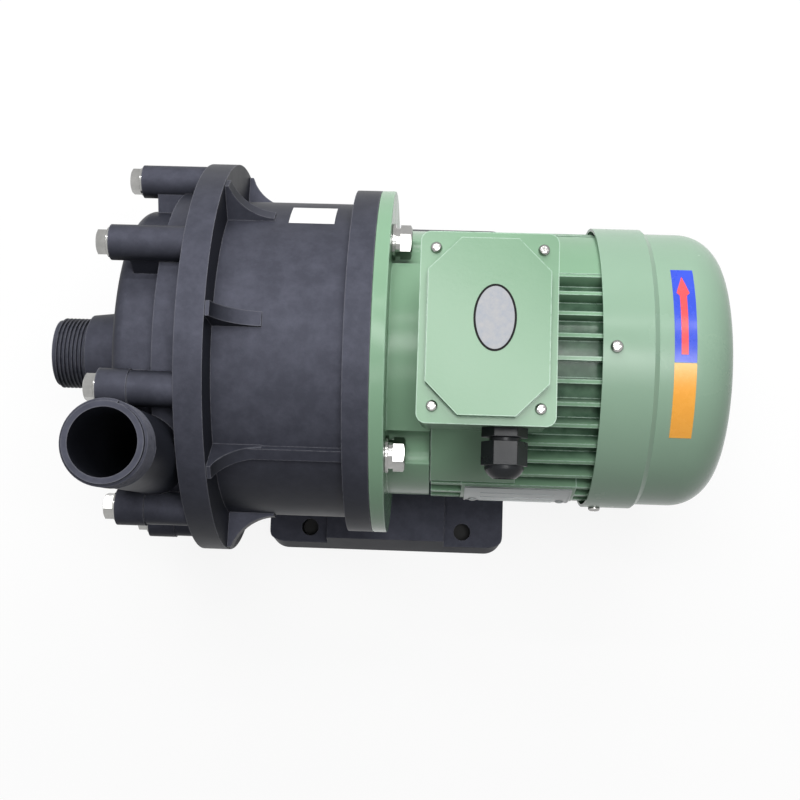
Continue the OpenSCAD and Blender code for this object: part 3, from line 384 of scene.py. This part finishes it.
# painted shade in the fin gaps, darkest at the fins' roots
finGapShade = {"Axis height": axisHeight, "Root radius": 71 * mm, "Tip radius": 78 * mm, "Amount": 0.85}
finishes["finned_casting"] = dict(
    finishes["green_casting"], grime=finGapShade, grimeColour=(0.024, 0.06, 0.036, 1))
materials = {slot: surfaceMaterial(slot + "Finish", look) for slot, look in finishes.items()}
print("materials made:", len(materials))

slotOfNode = {row["node"]: row["material_slot"] for row in frame["record"]["subparts"]}


def paintNodes():
    for name, obj in frame["nodes"].items():
        obj.data.materials.clear()
        obj.data.materials.append(materials[slotOfNode[name]])
    print("CAD nodes painted:", len(frame["nodes"]))


paintNodes()


def showMesh(name, mesh, material=None):
    piece = addObject(name, mesh)
    if material:
        mesh.materials.clear()
        mesh.materials.append(material)
    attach(piece, "pump_body")  # every piece made here is fixed
    return piece


def finishedMesh(maker):
    return bpy.data.meshes.new_from_object(maker.evaluated_get(bpy.context.evaluated_depsgraph_get()))


# edges that turn by more than these degrees stay sharp
sharpAngles = {"bolt": 24, "flat": 30, "cross": 35, "round": 40}


def meshFromBmesh(name, bm, kind):
    bmesh.ops.recalc_face_normals(bm, faces=bm.faces)
    mesh = bpy.data.meshes.new(name)
    bm.to_mesh(mesh)
    bm.free()
    mesh.shade_smooth()
    mesh.set_sharp_from_angle(angle=radians(sharpAngles[kind]))
    return mesh


# moulded and cast pieces keep their CAD shape and get rounded edges, widths in mm
roundedEdges = {
    "front_casing": 1.1, "bracket": 1.2, "base": 1.4, "front_end_shield": 0.9, "stator_frame": 0.45,
    "terminal_box": 1.0, "terminal_lid": 0.9, "gland_body": 0.35, "gland_nut": 0.45,
}
edgeCut = {"merge": 1e-6, "flatAngle": 0.4, "sharpAngle": 32, "steps": 2, "profile": 0.6}
ownFinish = {"stator_frame": "finned_casting"}  # painted shade darkens the gaps between its fins
# the base's long sides lean in towards their top
baseLean = {"from": 104, "reach": 8, "lean": 4.0, "height": 12}
# a flat of the gland's hexagons faces up
glandTurn = {"nodes": ("gland_body", "gland_nut"), "axis": (66.5, 221.5), "angle": 30}


def leanSides(bm, size):
    for vert in bm.verts:
        share = min(1.0, max(0.0, (abs(vert.co.y) / mm - size["from"]) / size["reach"]))
        shift = share * size["lean"] * mm * vert.co.z / (size["height"] * mm)
        vert.co.y -= shift if vert.co.y > 0 else -shift


def turnGland(bm, size):
    x, z = (value * mm for value in size["axis"])
    turn = Matrix.Rotation(radians(size["angle"]), 3, "Y")
    bmesh.ops.rotate(bm, verts=bm.verts, cent=(x, 0, z), matrix=turn)


def roundNode(nodeName, width):
    bm = bmesh.new()
    bm.from_mesh(frame["nodes"][nodeName].data)
    bmesh.ops.remove_doubles(bm, verts=bm.verts, dist=edgeCut["merge"])
    bmesh.ops.dissolve_limit(bm, angle_limit=radians(edgeCut["flatAngle"]), verts=bm.verts, edges=bm.edges)
    if nodeName == "base":
        leanSides(bm, baseLean)
    if nodeName in glandTurn["nodes"]:
        turnGland(bm, glandTurn)
    least = radians(edgeCut["sharpAngle"])
    sharp = [edge for edge in bm.edges if len(edge.link_faces) == 2 and edge.calc_face_angle(0) > least]
    bmesh.ops.bevel(bm, geom=sharp, offset=width * mm, offset_type="OFFSET", segments=edgeCut["steps"],
                    profile=edgeCut["profile"], affect="EDGES", clamp_overlap=True)
    mesh = bpy.data.meshes.new(nodeName + "Rounded")
    bm.to_mesh(mesh)
    bm.free()
    mesh.shade_smooth()
    maker = addObject("maker", mesh)
    weighted = maker.modifiers.new("weighted", "WEIGHTED_NORMAL")
    weighted.keep_sharp = True
    done = finishedMesh(maker)
    bpy.data.objects.remove(maker)
    done.name = nodeName + "Rounded"
    piece = showMesh(nodeName + "Rounded", done, materials[ownFinish.get(nodeName, slotOfNode[nodeName])])
    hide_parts(nodeName)


for nodeName, width in roundedEdges.items():
    roundNode(nodeName, width)
print("edges rounded:", len(roundedEdges))


def onShaft(station, angle, radius):
    turn = radians(angle)  # counted from straight up towards the far side
    return Vector((station * mm, radius * mm * sin(turn), axisHeight + radius * mm * cos(turn)))


def newBuild(name, sockets):
    tree = bpy.data.node_groups.new(name, "GeometryNodeTree")
    for socketName, kind in sockets:
        tree.interface.new_socket(name=socketName, in_out="INPUT", socket_type="NodeSocket" + kind)
    tree.interface.new_socket(name="Finish", in_out="INPUT", socket_type="NodeSocketMaterial")
    tree.interface.new_socket(name="Geometry", in_out="OUTPUT", socket_type="NodeSocketGeometry")
    return tree, addNode(tree, "NodeGroupInput").outputs


def endBuild(tree, made, into):
    solid = addNode(tree, "GeometryNodeRealizeInstances", {0: made})
    dressed = addNode(tree, "GeometryNodeSetMaterial", {
        "Geometry": solid.outputs[0], "Material": into["Finish"]})
    addNode(tree, "NodeGroupOutput", {"Geometry": dressed.outputs[0]})
    return tree


def swept(tree, path, profile):
    made = addNode(tree, "GeometryNodeCurveToMesh", {
        "Curve": path.outputs[0], "Profile Curve": profile.outputs[0], "Fill Caps": True})
    return made.outputs[0]


# thread ridge: its corners as shares of height and pitch, thinned out at both ends
ridgeShape = {"corners": ((0.2, -0.47), (0.2, 0.47), (-1.0, 0.08), (-1.0, -0.08)), "steps": 56,
              "fadeLength": 0.035, "fadeTo": 0.15}


def threadBuild():
    tree, into = newBuild("threadRidge", [
        ("Radius", "Float"), ("Pitch", "Float"), ("Turns", "Float"), ("Height", "Float"),
        ("Start", "Vector"), ("Lean", "Vector")])
    path = addNode(tree, "GeometryNodeCurveSpiral", {
        "Resolution": ridgeShape["steps"], "Rotations": into["Turns"], "Start Radius": into["Radius"],
        "End Radius": into["Radius"], "Height": maths(tree, "MULTIPLY", into["Pitch"], into["Turns"])})
    level = addNode(tree, "GeometryNodeSetCurveNormal", {"Curve": path.outputs[0]}, mode="Z_UP")
    along = addNode(tree, "GeometryNodeSplineParameter").outputs["Factor"]
    nearEnd = maths(tree, "MINIMUM", along, maths(tree, "SUBTRACT", 1.0, along))
    fade = mapped(tree, nearEnd, (0.0, ridgeShape["fadeLength"]), (ridgeShape["fadeTo"], 1.0))
    ready = addNode(tree, "GeometryNodeSetCurveRadius", {"Curve": level.outputs[0], "Radius": fade})
    ridge = addNode(tree, "GeometryNodeCurvePrimitiveQuadrilateral", mode="POINTS")
    for corner, (deep, share) in enumerate(ridgeShape["corners"], 1):
        spot = addNode(tree, "ShaderNodeCombineXYZ", {
            0: maths(tree, "MULTIPLY", into["Height"], deep),
            1: maths(tree, "MULTIPLY", into["Pitch"], share)})
        tree.links.new(spot.outputs[0], ridge.inputs["Point %d" % corner])
    placed = addNode(tree, "GeometryNodeTransform", {
        "Geometry": swept(tree, ready, ridge), "Translation": into["Start"], "Rotation": into["Lean"]})
    return endBuild(tree, placed.outputs[0], into)


springCoil = {"steps": 48, "turn": 0.965}  # a little short of a full turn


def splitRingBuild():
    tree, into = newBuild("splitRing", [
        ("Radius", "Float"), ("Width", "Float"), ("Thickness", "Float"), ("Spring", "Float")])
    path = addNode(tree, "GeometryNodeCurveSpiral", {
        "Resolution": springCoil["steps"], "Rotations": springCoil["turn"], "Start Radius": into["Radius"],
        "End Radius": into["Radius"], "Height": into["Spring"]})
    bar = addNode(tree, "GeometryNodeCurvePrimitiveQuadrilateral", {
        "Width": into["Thickness"], "Height": into["Width"]})
    return endBuild(tree, swept(tree, path, bar), into)


def copiesBuild(tree, into, points, lean=None):
    part = addNode(tree, "GeometryNodeObjectInfo", {"Object": into["Part"]})
    inputs = {"Points": points.outputs[0], "Instance": part.outputs["Geometry"]}
    if lean is not None:
        inputs["Rotation"] = addNode(tree, "FunctionNodeEulerToRotation", {0: lean}).outputs[0]
    copies = addNode(tree, "GeometryNodeInstanceOnPoints", inputs)
    return endBuild(tree, copies.outputs[0], into)


def ringBuild():
    tree, into = newBuild("ringOfCopies", [
        ("Part", "Object"), ("Count", "Int"), ("Circle", "Float"), ("First angle", "Float"),
        ("Station", "Float"), ("Axis height", "Float"), ("Spin", "Float"), ("Seed", "Int")])
    index = addNode(tree, "GeometryNodeInputIndex").outputs[0]
    step = maths(tree, "DIVIDE", 2 * pi, into["Count"])
    angle = maths(tree, "ADD", maths(tree, "MULTIPLY", index, step), into["First angle"])
    side = maths(tree, "MULTIPLY", maths(tree, "SINE", angle), into["Circle"])
    high = maths(tree, "MULTIPLY", maths(tree, "COSINE", angle), into["Circle"])
    place = addNode(tree, "ShaderNodeCombineXYZ", {
        0: into["Station"], 1: side, 2: maths(tree, "ADD", high, into["Axis height"])})
    points = addNode(tree, "GeometryNodePoints", {"Count": into["Count"], "Position": place.outputs[0]})
    chance = addNode(tree, "FunctionNodeRandomValue", {"ID": index, "Seed": into["Seed"]}, data_type="FLOAT")
    own = maths(tree, "MULTIPLY", chance.outputs[1], into["Spin"])
    turn = addNode(tree, "ShaderNodeCombineXYZ", {0: maths(tree, "SUBTRACT", own, angle)})
    return copiesBuild(tree, into, points, turn.outputs[0])


def cornerBuild():
    tree, into = newBuild("cornerCopies", [
        ("Part", "Object"), ("Length", "Float"), ("Width", "Float"), ("Centre", "Vector")])
    grid = addNode(tree, "GeometryNodeMeshGrid", {
        "Size X": into["Length"], "Size Y": into["Width"], "Vertices X": 2, "Vertices Y": 2})
    moved = addNode(tree, "GeometryNodeTransform", {
        "Geometry": grid.outputs[0], "Translation": into["Centre"]})
    return copiesBuild(tree, into, moved)


def rowBuild():
    tree, into = newBuild("rowOfCopies", [
        ("Part", "Object"), ("Count", "Int"), ("Start", "Vector"), ("Step", "Vector"), ("Lean", "Vector")])
    line = addNode(tree, "GeometryNodeMeshLine", {
        "Count": into["Count"], "Start Location": into["Start"], "Offset": into["Step"]})
    return copiesBuild(tree, into, line, into["Lean"])


builds = {"thread": threadBuild(), "splitRing": splitRingBuild(), "ring": ringBuild(),
          "corner": cornerBuild(), "row": rowBuild()}
print("node builds made:", len(builds))


def meshFromBuild(name, buildName, values):
    maker = addObject(name + "Maker", bpy.data.meshes.new(name + "Maker"))
    build = maker.modifiers.new("build", "NODES")
    tree = builds[buildName]
    build.node_group = tree
    for item in tree.interface.items_tree:
        if item.item_type == "SOCKET" and item.in_out == "INPUT":
            build[item.identifier] = values[item.name]
    mesh = finishedMesh(maker)
    maker.modifiers.remove(build)
    bpy.data.objects.remove(maker)
    mesh.name = name
    mesh.shade_smooth()
    mesh.set_sharp_from_angle(angle=radians(sharpAngles["flat"]))
    return mesh


def placePiece(name, buildName, values, slot, replaced=None):
    piece = showMesh(name, meshFromBuild(name, buildName, dict(values, Finish=materials[slot])))
    if replaced:
        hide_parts(replaced)


def joinLoops(bm, loops):
    for now, after in zip(loops, loops[1:]):
        for i in range(len(now)):
            j = (i + 1) % len(now)
            bm.faces.new((now[i], now[j], after[j], after[i]))


# turns a profile of (radius, height) round z, a radius of 0 is a point
def lathe(bm, profile, steps):
    rings = []
    for radius, height in profile:
        ring = []
        for i in range(steps if radius else 1):
            angle = 2 * pi * i / steps
            ring.append(bm.verts.new((radius * mm * cos(angle), radius * mm * sin(angle), height * mm)))
        rings.append(ring)
    for low, high in zip(rings, rings[1:]):
        for i in range(steps):
            j = i + 1
            corners = [low[i % len(low)], low[j % len(low)], high[j % len(high)], high[i % len(high)]]
            bm.faces.new(list(dict.fromkeys(corners)))
    return rings


def turnedTo(bm, facing):
    quarter = {"back": 90, "front": -90}[facing]  # back is +X, front is -X
    turn = Matrix.Rotation(radians(quarter), 3, "Y")
    bmesh.ops.rotate(bm, verts=bm.verts, cent=(0, 0, 0), matrix=turn)


# hexagon bolt: chamfered head standing on z = 0, shank below it
hexShape = {"crown": 0.47, "chamfer": 0.55, "dish": 0.82, "seat": 0.98, "tip": 0.8, "steps": 72}


def hexBoltMesh(size, facing):
    bm = bmesh.new()
    steps, tip = hexShape["steps"], hexShape["tip"]
    flat, crown = size["acrossFlats"] / 2, size["acrossFlats"] * hexShape["crown"]
    shank, long = size["shank"], size["shankLength"]
    skirt, brow, rim = [], [], []
    for i in range(steps):
        angle = 2 * pi * i / steps
        reach = flat / cos((angle % (pi / 3)) - pi / 6)
        drop = max(0.0, reach - crown) * hexShape["chamfer"]
        levels = ((skirt, reach, 0), (brow, reach, size["height"] - drop), (rim, crown, size["height"]))
        for ring, radius, height in levels:
            ring.append(bm.verts.new((radius * mm * cos(angle), radius * mm * sin(angle), height * mm)))
    inward, sunk = hexShape["dish"], size["dish"] * mm
    dish = [bm.verts.new((vert.co.x * inward, vert.co.y * inward, vert.co.z - sunk)) for vert in rim]
    seat = lathe(bm, [(0, -long), (shank - tip, -long), (shank, tip - long), (shank, 0),
                      (flat * hexShape["seat"], 0)], steps)[-1]
    joinLoops(bm, [seat, skirt, brow, rim, dish])
    bm.faces.new(dish)
    turnedTo(bm, facing)
    return meshFromBmesh("hexBolt", bm, "bolt")


# flat washer with broken edges, standing on z = 0
washerSteps = 40
mergeGap = 1e-7


def washerMesh(size, facing):
    bm = bmesh.new()
    outer, inner, thick, edge = size["radius"], size["bore"], size["thickness"], size["edge"]
    lathe(bm, [(inner, edge), (inner + edge, 0), (outer - edge, 0), (outer, edge),
               (outer, thick - edge), (outer - edge, thick), (inner + edge, thick),
               (inner, thick - edge), (inner, edge)], washerSteps)
    bmesh.ops.remove_doubles(bm, verts=bm.verts, dist=mergeGap)
    turnedTo(bm, facing)
    return meshFromBmesh("washer", bm, "flat")


# round heads on z = 0: outlines and the cross recess as shares of the head's radius and height
panShape = {"outline": ((0.97, 0), (1, 0.2), (0.985, 0.45), (0.92, 0.68), (0.78, 0.86), (0.5, 0.97), (0, 1)),
            "cross": (1.25, 0.3, 1.1), "point": 0.7, "pointLength": 0.6, "steps": 40}
rivetShape = {"outline": ((1, 0), (0.96, 0.35), (0.8, 0.7), (0.5, 0.93), (0, 1)), "steps": 28}


def headProfile(size, outline):
    return [(size["head"] * out, size["height"] * up) for out, up in outline]


def panScrewMesh(name, size):
    bm = bmesh.new()
    head, high, shank, long = size["head"], size["height"], size["shank"], size["shankLength"]
    stem = [(0, -long), (shank * panShape["point"], -long),
            (shank, panShape["pointLength"] - long), (shank, 0)]
    lathe(bm, stem + headProfile(size, panShape["outline"]), panShape["steps"])
    body = addObject(name, meshFromBmesh(name, bm, "round"))
    cutter = bmesh.new()
    span, wide, deep = panShape["cross"]
    for turn in (0, 90):
        spot = Matrix.Rotation(radians(turn), 4, "Z") @ Matrix.Translation((0, 0, high * mm))
        shape = Matrix.Diagonal((head * span * mm, head * wide * mm, high * deep * mm, 1))
        bmesh.ops.create_cube(cutter, size=1.0, matrix=spot @ shape)
    crossTool = addObject(name + "Cross", meshFromBmesh(name + "Cross", cutter, "cross"))
    cut = body.modifiers.new("cross", "BOOLEAN")
    cut.object = crossTool
    cut.operation = "DIFFERENCE"
    cut.solver = "EXACT"
    cut.use_self = True
    mesh = finishedMesh(body)
    bpy.data.objects.remove(body)
    bpy.data.objects.remove(crossTool)
    mesh.set_sharp_from_angle(angle=radians(sharpAngles["cross"]))
    return mesh


def rivetMesh(size):
    bm = bmesh.new()
    shank, long = size["shank"], size["shankLength"]
    stem = [(0, -long), (shank, -long), (shank, 0)]
    lathe(bm, stem + headProfile(size, rivetShape["outline"]), rivetShape["steps"])
    return meshFromBmesh("rivet", bm, "round")


def inMetres(values):
    return [value * mm for value in values]


# port threads: fine ridges on both pipes
portThread = {
    "radius": 19.45, "pitch": 2.309, "turns": 7.8, "height": 1.35,
    "pipes": {"suctionThread": {"start": (-191.4, 0, 118), "lean": (0, pi / 2, 0)},
              "dischargeThread": {"start": (-121.5, -63.5, 253.4), "lean": (0, 0, 0)}},
}


def makeThreads(size):
    for name, pipe in size["pipes"].items():
        values = {"Radius": size["radius"] * mm, "Pitch": size["pitch"] * mm, "Turns": size["turns"],
                  "Height": size["height"] * mm, "Start": inMetres(pipe["start"]), "Lean": pipe["lean"]}
        placePiece(name, "thread", values, "black_plastic")


makeThreads(portThread)
print("port threads cut")

# bolts that hold the casing to the bracket
casingBolts = {
    "count": 8, "circle": 102, "firstAngle": 27, "station": -141, "spin": 1.0, "seed": 4,
    "bolt": {"acrossFlats": 12.96, "height": 5.5, "dish": 0.35, "shank": 4, "shankLength": 53},
    "washer": {"radius": 8, "bore": 4.2, "thickness": 1.6, "edge": 0.25},
}
# bolts that hold the motor flange to the bracket
flangeBolts = {
    "count": 4, "circle": 82.5, "firstAngle": 45, "station": 5, "spin": 1.0, "seed": 9, "headLift": 4.5,
    "bolt": {"acrossFlats": 16.2, "height": 6.4, "dish": 0.45, "shank": 5, "shankLength": 23},
    "washer": {"radius": 10, "bore": 5.2, "thickness": 2.0, "edge": 0.3},
    "spring": {"Radius": 7.0 * mm, "Width": 3.4 * mm, "Thickness": 1.7 * mm, "Spring": 0.6 * mm},
    "springLift": 0.95,
}


def makeRing(name, size, mesh, station, replaced):
    template = addObject(name + "Template", mesh)
    values = {"Part": template, "Count": size["count"], "Circle": size["circle"] * mm,
              "First angle": radians(size["firstAngle"]), "Station": station * mm,
              "Axis height": axisHeight, "Spin": size["spin"], "Seed": size["seed"]}
    placePiece(name, "ring", values, "zinc_steel", replaced)
    bpy.data.objects.remove(template)


def joined(first, second):
    bm = bmesh.new()
    bm.from_mesh(first)
    bm.from_mesh(second)
    mesh = bpy.data.meshes.new("joined")
    bm.to_mesh(mesh)
    bm.free()
    mesh.set_sharp_from_angle(angle=radians(sharpAngles["flat"]))
    return mesh


def makeBolts(casing, flange):
    face = casing["station"] - casing["washer"]["thickness"]
    makeRing("casingBolts", casing, hexBoltMesh(casing["bolt"], "front"), face, "casing_bolts")
    washer = washerMesh(casing["washer"], "front")
    makeRing("casingWashers", casing, washer, casing["station"], "casing_washers")
    flat = washerMesh(flange["washer"], "back")
    coil = meshFromBuild("springWasher", "splitRing", dict(flange["spring"], Finish=materials["zinc_steel"]))
    bm = bmesh.new()
    bm.from_mesh(coil)
    lift = (flange["washer"]["thickness"] + flange["springLift"]) * mm
    bmesh.ops.translate(bm, verts=bm.verts, vec=(0, 0, lift))
    turnedTo(bm, "back")
    stack = joined(flat, meshFromBmesh("springWasher", bm, "flat"))
    makeRing("flangeWashers", flange, stack, flange["station"], "flange_washers")
    face = flange["station"] + flange["headLift"]
    makeRing("flangeBolts", flange, hexBoltMesh(flange["bolt"], "back"), face, "flange_bolts")


makeBolts(casingBolts, flangeBolts)
print("bolts and washers placed")

# pan-head screws of the lid and of the fan cover, and the nameplate's rivets
lidScrews = {"head": 2.85, "height": 2.4, "shank": 1.5, "shankLength": 21,
             "length": 52.6, "width": 78, "centre": (56, 0, 244.55)}
coverScrews = {"head": 3.4, "height": 2.4, "shank": 1.7, "shankLength": 9.5,
               "count": 4, "circle": 81.55, "firstAngle": 0, "station": 125, "spin": 0.0, "seed": 1}
plateRivets = {"head": 2.5, "height": 1.0, "shank": 1.6, "shankLength": 4.5,
               "count": 2, "angle": -85, "radius": 79.4, "first": 54, "step": 50}


def makeScrews(lid, cover, rivets):
    template = addObject("lidScrewTemplate", panScrewMesh("lidScrew", lid))
    values = {"Part": template, "Length": lid["length"] * mm, "Width": lid["width"] * mm,
              "Centre": inMetres(lid["centre"])}
    placePiece("lidScrews", "corner", values, "zinc_steel", "lid_screws")
    bpy.data.objects.remove(template)
    makeRing("coverScrews", cover, panScrewMesh("coverScrew", cover), cover["station"], "fan_cover_screws")
    template = addObject("rivetTemplate", rivetMesh(rivets))
    values = {"Part": template, "Count": rivets["count"], "Step": (rivets["step"] * mm, 0, 0),
              "Start": onShaft(rivets["first"], rivets["angle"], rivets["radius"]),
              "Lean": (-radians(rivets["angle"]), 0, 0)}
    placePiece("plateRivets", "row", values, "alu_plate", "nameplate_rivets")
    bpy.data.objects.remove(template)


makeScrews(lidScrews, coverScrews, plateRivets)
print("screws and rivets placed")


# rows of (angle, first station, last station), wrapped round the shaft's line
def rowsOver(angles, first, last):
    return [(angle, first, last) for angle in angles]


# thin pieces stuck on the fan cover and the bracket
arrowHead = [(23.2, 157.4, 164.3), (27, 159.0, 162.7), (31, 160.7, 160.9)]
stickers = {
    "blueField": {"rows": rowsOver(range(-5, 36, 2), 155.5, 167.2),
                  "radius": 79.02, "thick": 0.14, "finish": "blue_vinyl"},
    "redArrow": {"rows": rowsOver(range(-2, 24, 2), 159.0, 162.7) + arrowHead,
                 "radius": 79.15, "thick": 0.12, "finish": "red_vinyl"},
    "orangeField": {"rows": rowsOver([*range(-35, -6, 2), -5.3], 155.5, 167.2),
                    "radius": 79.02, "thick": 0.14, "finish": "orange_vinyl"},
    "whiteLabel": {"rows": rowsOver(range(46, 61), -52, -27),
                   "radius": 92.02, "thick": 0.15, "finish": "white_paper"},
}


def vinyl(dark, light):
    return {"dark": dark, "light": light, "fine": 900, "broad": 90, "rough": (0.22, 0.32), "bump": 0.03}


stickerFinishes = {
    "blue_vinyl": vinyl((0.014, 0.05, 0.5, 1), (0.024, 0.07, 0.62, 1)),
    "red_vinyl": vinyl((0.72, 0.05, 0.06, 1), (0.82, 0.08, 0.085, 1)),
    "orange_vinyl": vinyl((0.82, 0.33, 0.025, 1), (0.9, 0.42, 0.06, 1)),
    "white_paper": {
        "dark": grey(0.62), "light": grey(0.74), "fine": 1400, "broad": 120,
        "rough": (0.4, 0.55), "bump": 0.06},
    "pearl_film": {
        "dark": (0.22, 0.26, 0.33, 1), "light": (0.42, 0.4, 0.38, 1), "fine": 900, "broad": 330,
        "rough": (0.3, 0.4), "bump": 0.02, "specular": 0.2},
    "black_ink": {
        "dark": grey(0.008), "light": grey(0.014), "fine": 1200, "broad": 90,
        "rough": (0.4, 0.5), "bump": 0.02, "specular": 0.06},
}
materials.update({name: surfaceMaterial(name + "Finish", look) for name, look in stickerFinishes.items()})


def wrapMesh(name, strips):
    bm = bmesh.new()
    for rows, radius, thick in strips:
        top = radius + thick
        loops = []
        for angle, first, last in rows:
            outline = ((first, radius), (last, radius), (last, top), (first, top))
            loops.append([bm.verts.new(onShaft(station, angle, level)) for station, level in outline])
        joinLoops(bm, loops)
        bm.faces.new(loops[0])
        bm.faces.new(loops[-1])
    return meshFromBmesh(name, bm, "round")


for name, size in stickers.items():
    showMesh(name, wrapMesh(name, [(size["rows"], size["radius"], size["thick"])]), materials[size["finish"]])
print("wrapped stickers placed:", len(stickers))

# nameplate: raised border and blank ruled lines
plateBorder = {"first": 49, "last": 109, "from": -68, "to": -102, "radius": 79.3, "thick": 0.3, "steps": 16,
               "band": 1.0, "bandAngle": 0.75, "lines": 5, "lineAngle": 0.18, "lineInset": 9}


def makePlateBorder(size):
    first, last, top, low = size["first"], size["last"], size["from"], size["to"]
    band, bandAngle, inset = size["band"], size["bandAngle"], size["lineInset"]
    fullTurn = [top + (low - top) * i / size["steps"] for i in range(size["steps"] + 1)]
    strips = [rowsOver(fullTurn, first, first + band), rowsOver(fullTurn, last - band, last)]
    for edge in (top, low + bandAngle):
        strips.append(rowsOver([edge - bandAngle * i / 2 for i in range(3)], first + band, last - band))
    for i in range(size["lines"]):
        middle = top + (low - top) * (i + 1) / (size["lines"] + 1)
        angles = [middle + size["lineAngle"] * k for k in (-1, 0, 1)]
        strips.append(rowsOver(angles, first + inset, last - inset))
    mesh = wrapMesh("plateBorder", [(rows, size["radius"], size["thick"]) for rows in strips])
    piece = showMesh("plateBorder", mesh, materials["alu_plate"])


makePlateBorder(plateBorder)

# oval sticker on the lid: pearly film inside a thin dark ring
lidOval = {"centre": (59.0, 4.2), "half": (9.4, 15.4), "ring": 1.1, "ringGap": 0.02,
           "height": 250.0, "thick": 0.16, "sunk": 0.02, "edge": 0.05, "steps": 64}


def ovalLoop(bm, size, grow, height):
    loop = []
    for i in range(size["steps"]):
        turn = 2 * pi * i / size["steps"]
        x = size["centre"][0] + (size["half"][0] + grow) * cos(turn)
        y = size["centre"][1] + (size["half"][1] + grow) * sin(turn)
        loop.append(bm.verts.new((x * mm, y * mm, height * mm)))
    return loop


def ovalMesh(name, size, outer, inner=None):
    bm = bmesh.new()
    low, high = size["height"] - size["sunk"], size["height"] + size["thick"]
    loops = [ovalLoop(bm, size, outer, low), ovalLoop(bm, size, outer, high - size["edge"]),
             ovalLoop(bm, size, outer - size["edge"], high)]
    if inner is None:
        bm.faces.new(loops[0])
        bm.faces.new(loops[-1])
    else:
        loops += [ovalLoop(bm, size, inner, high), ovalLoop(bm, size, inner, low), loops[0]]
    joinLoops(bm, loops)
    return meshFromBmesh(name, bm, "round")


def makeLidOval(size):
    showMesh("lidOval", ovalMesh("lidOval", size, 0.0), materials["pearl_film"])
    ring = ovalMesh("lidOvalRing", size, size["ring"], size["ringGap"])
    showMesh("lidOvalRing", ring, materials["black_ink"])


makeLidOval(lidOval)
print("nameplate border and oval placed")
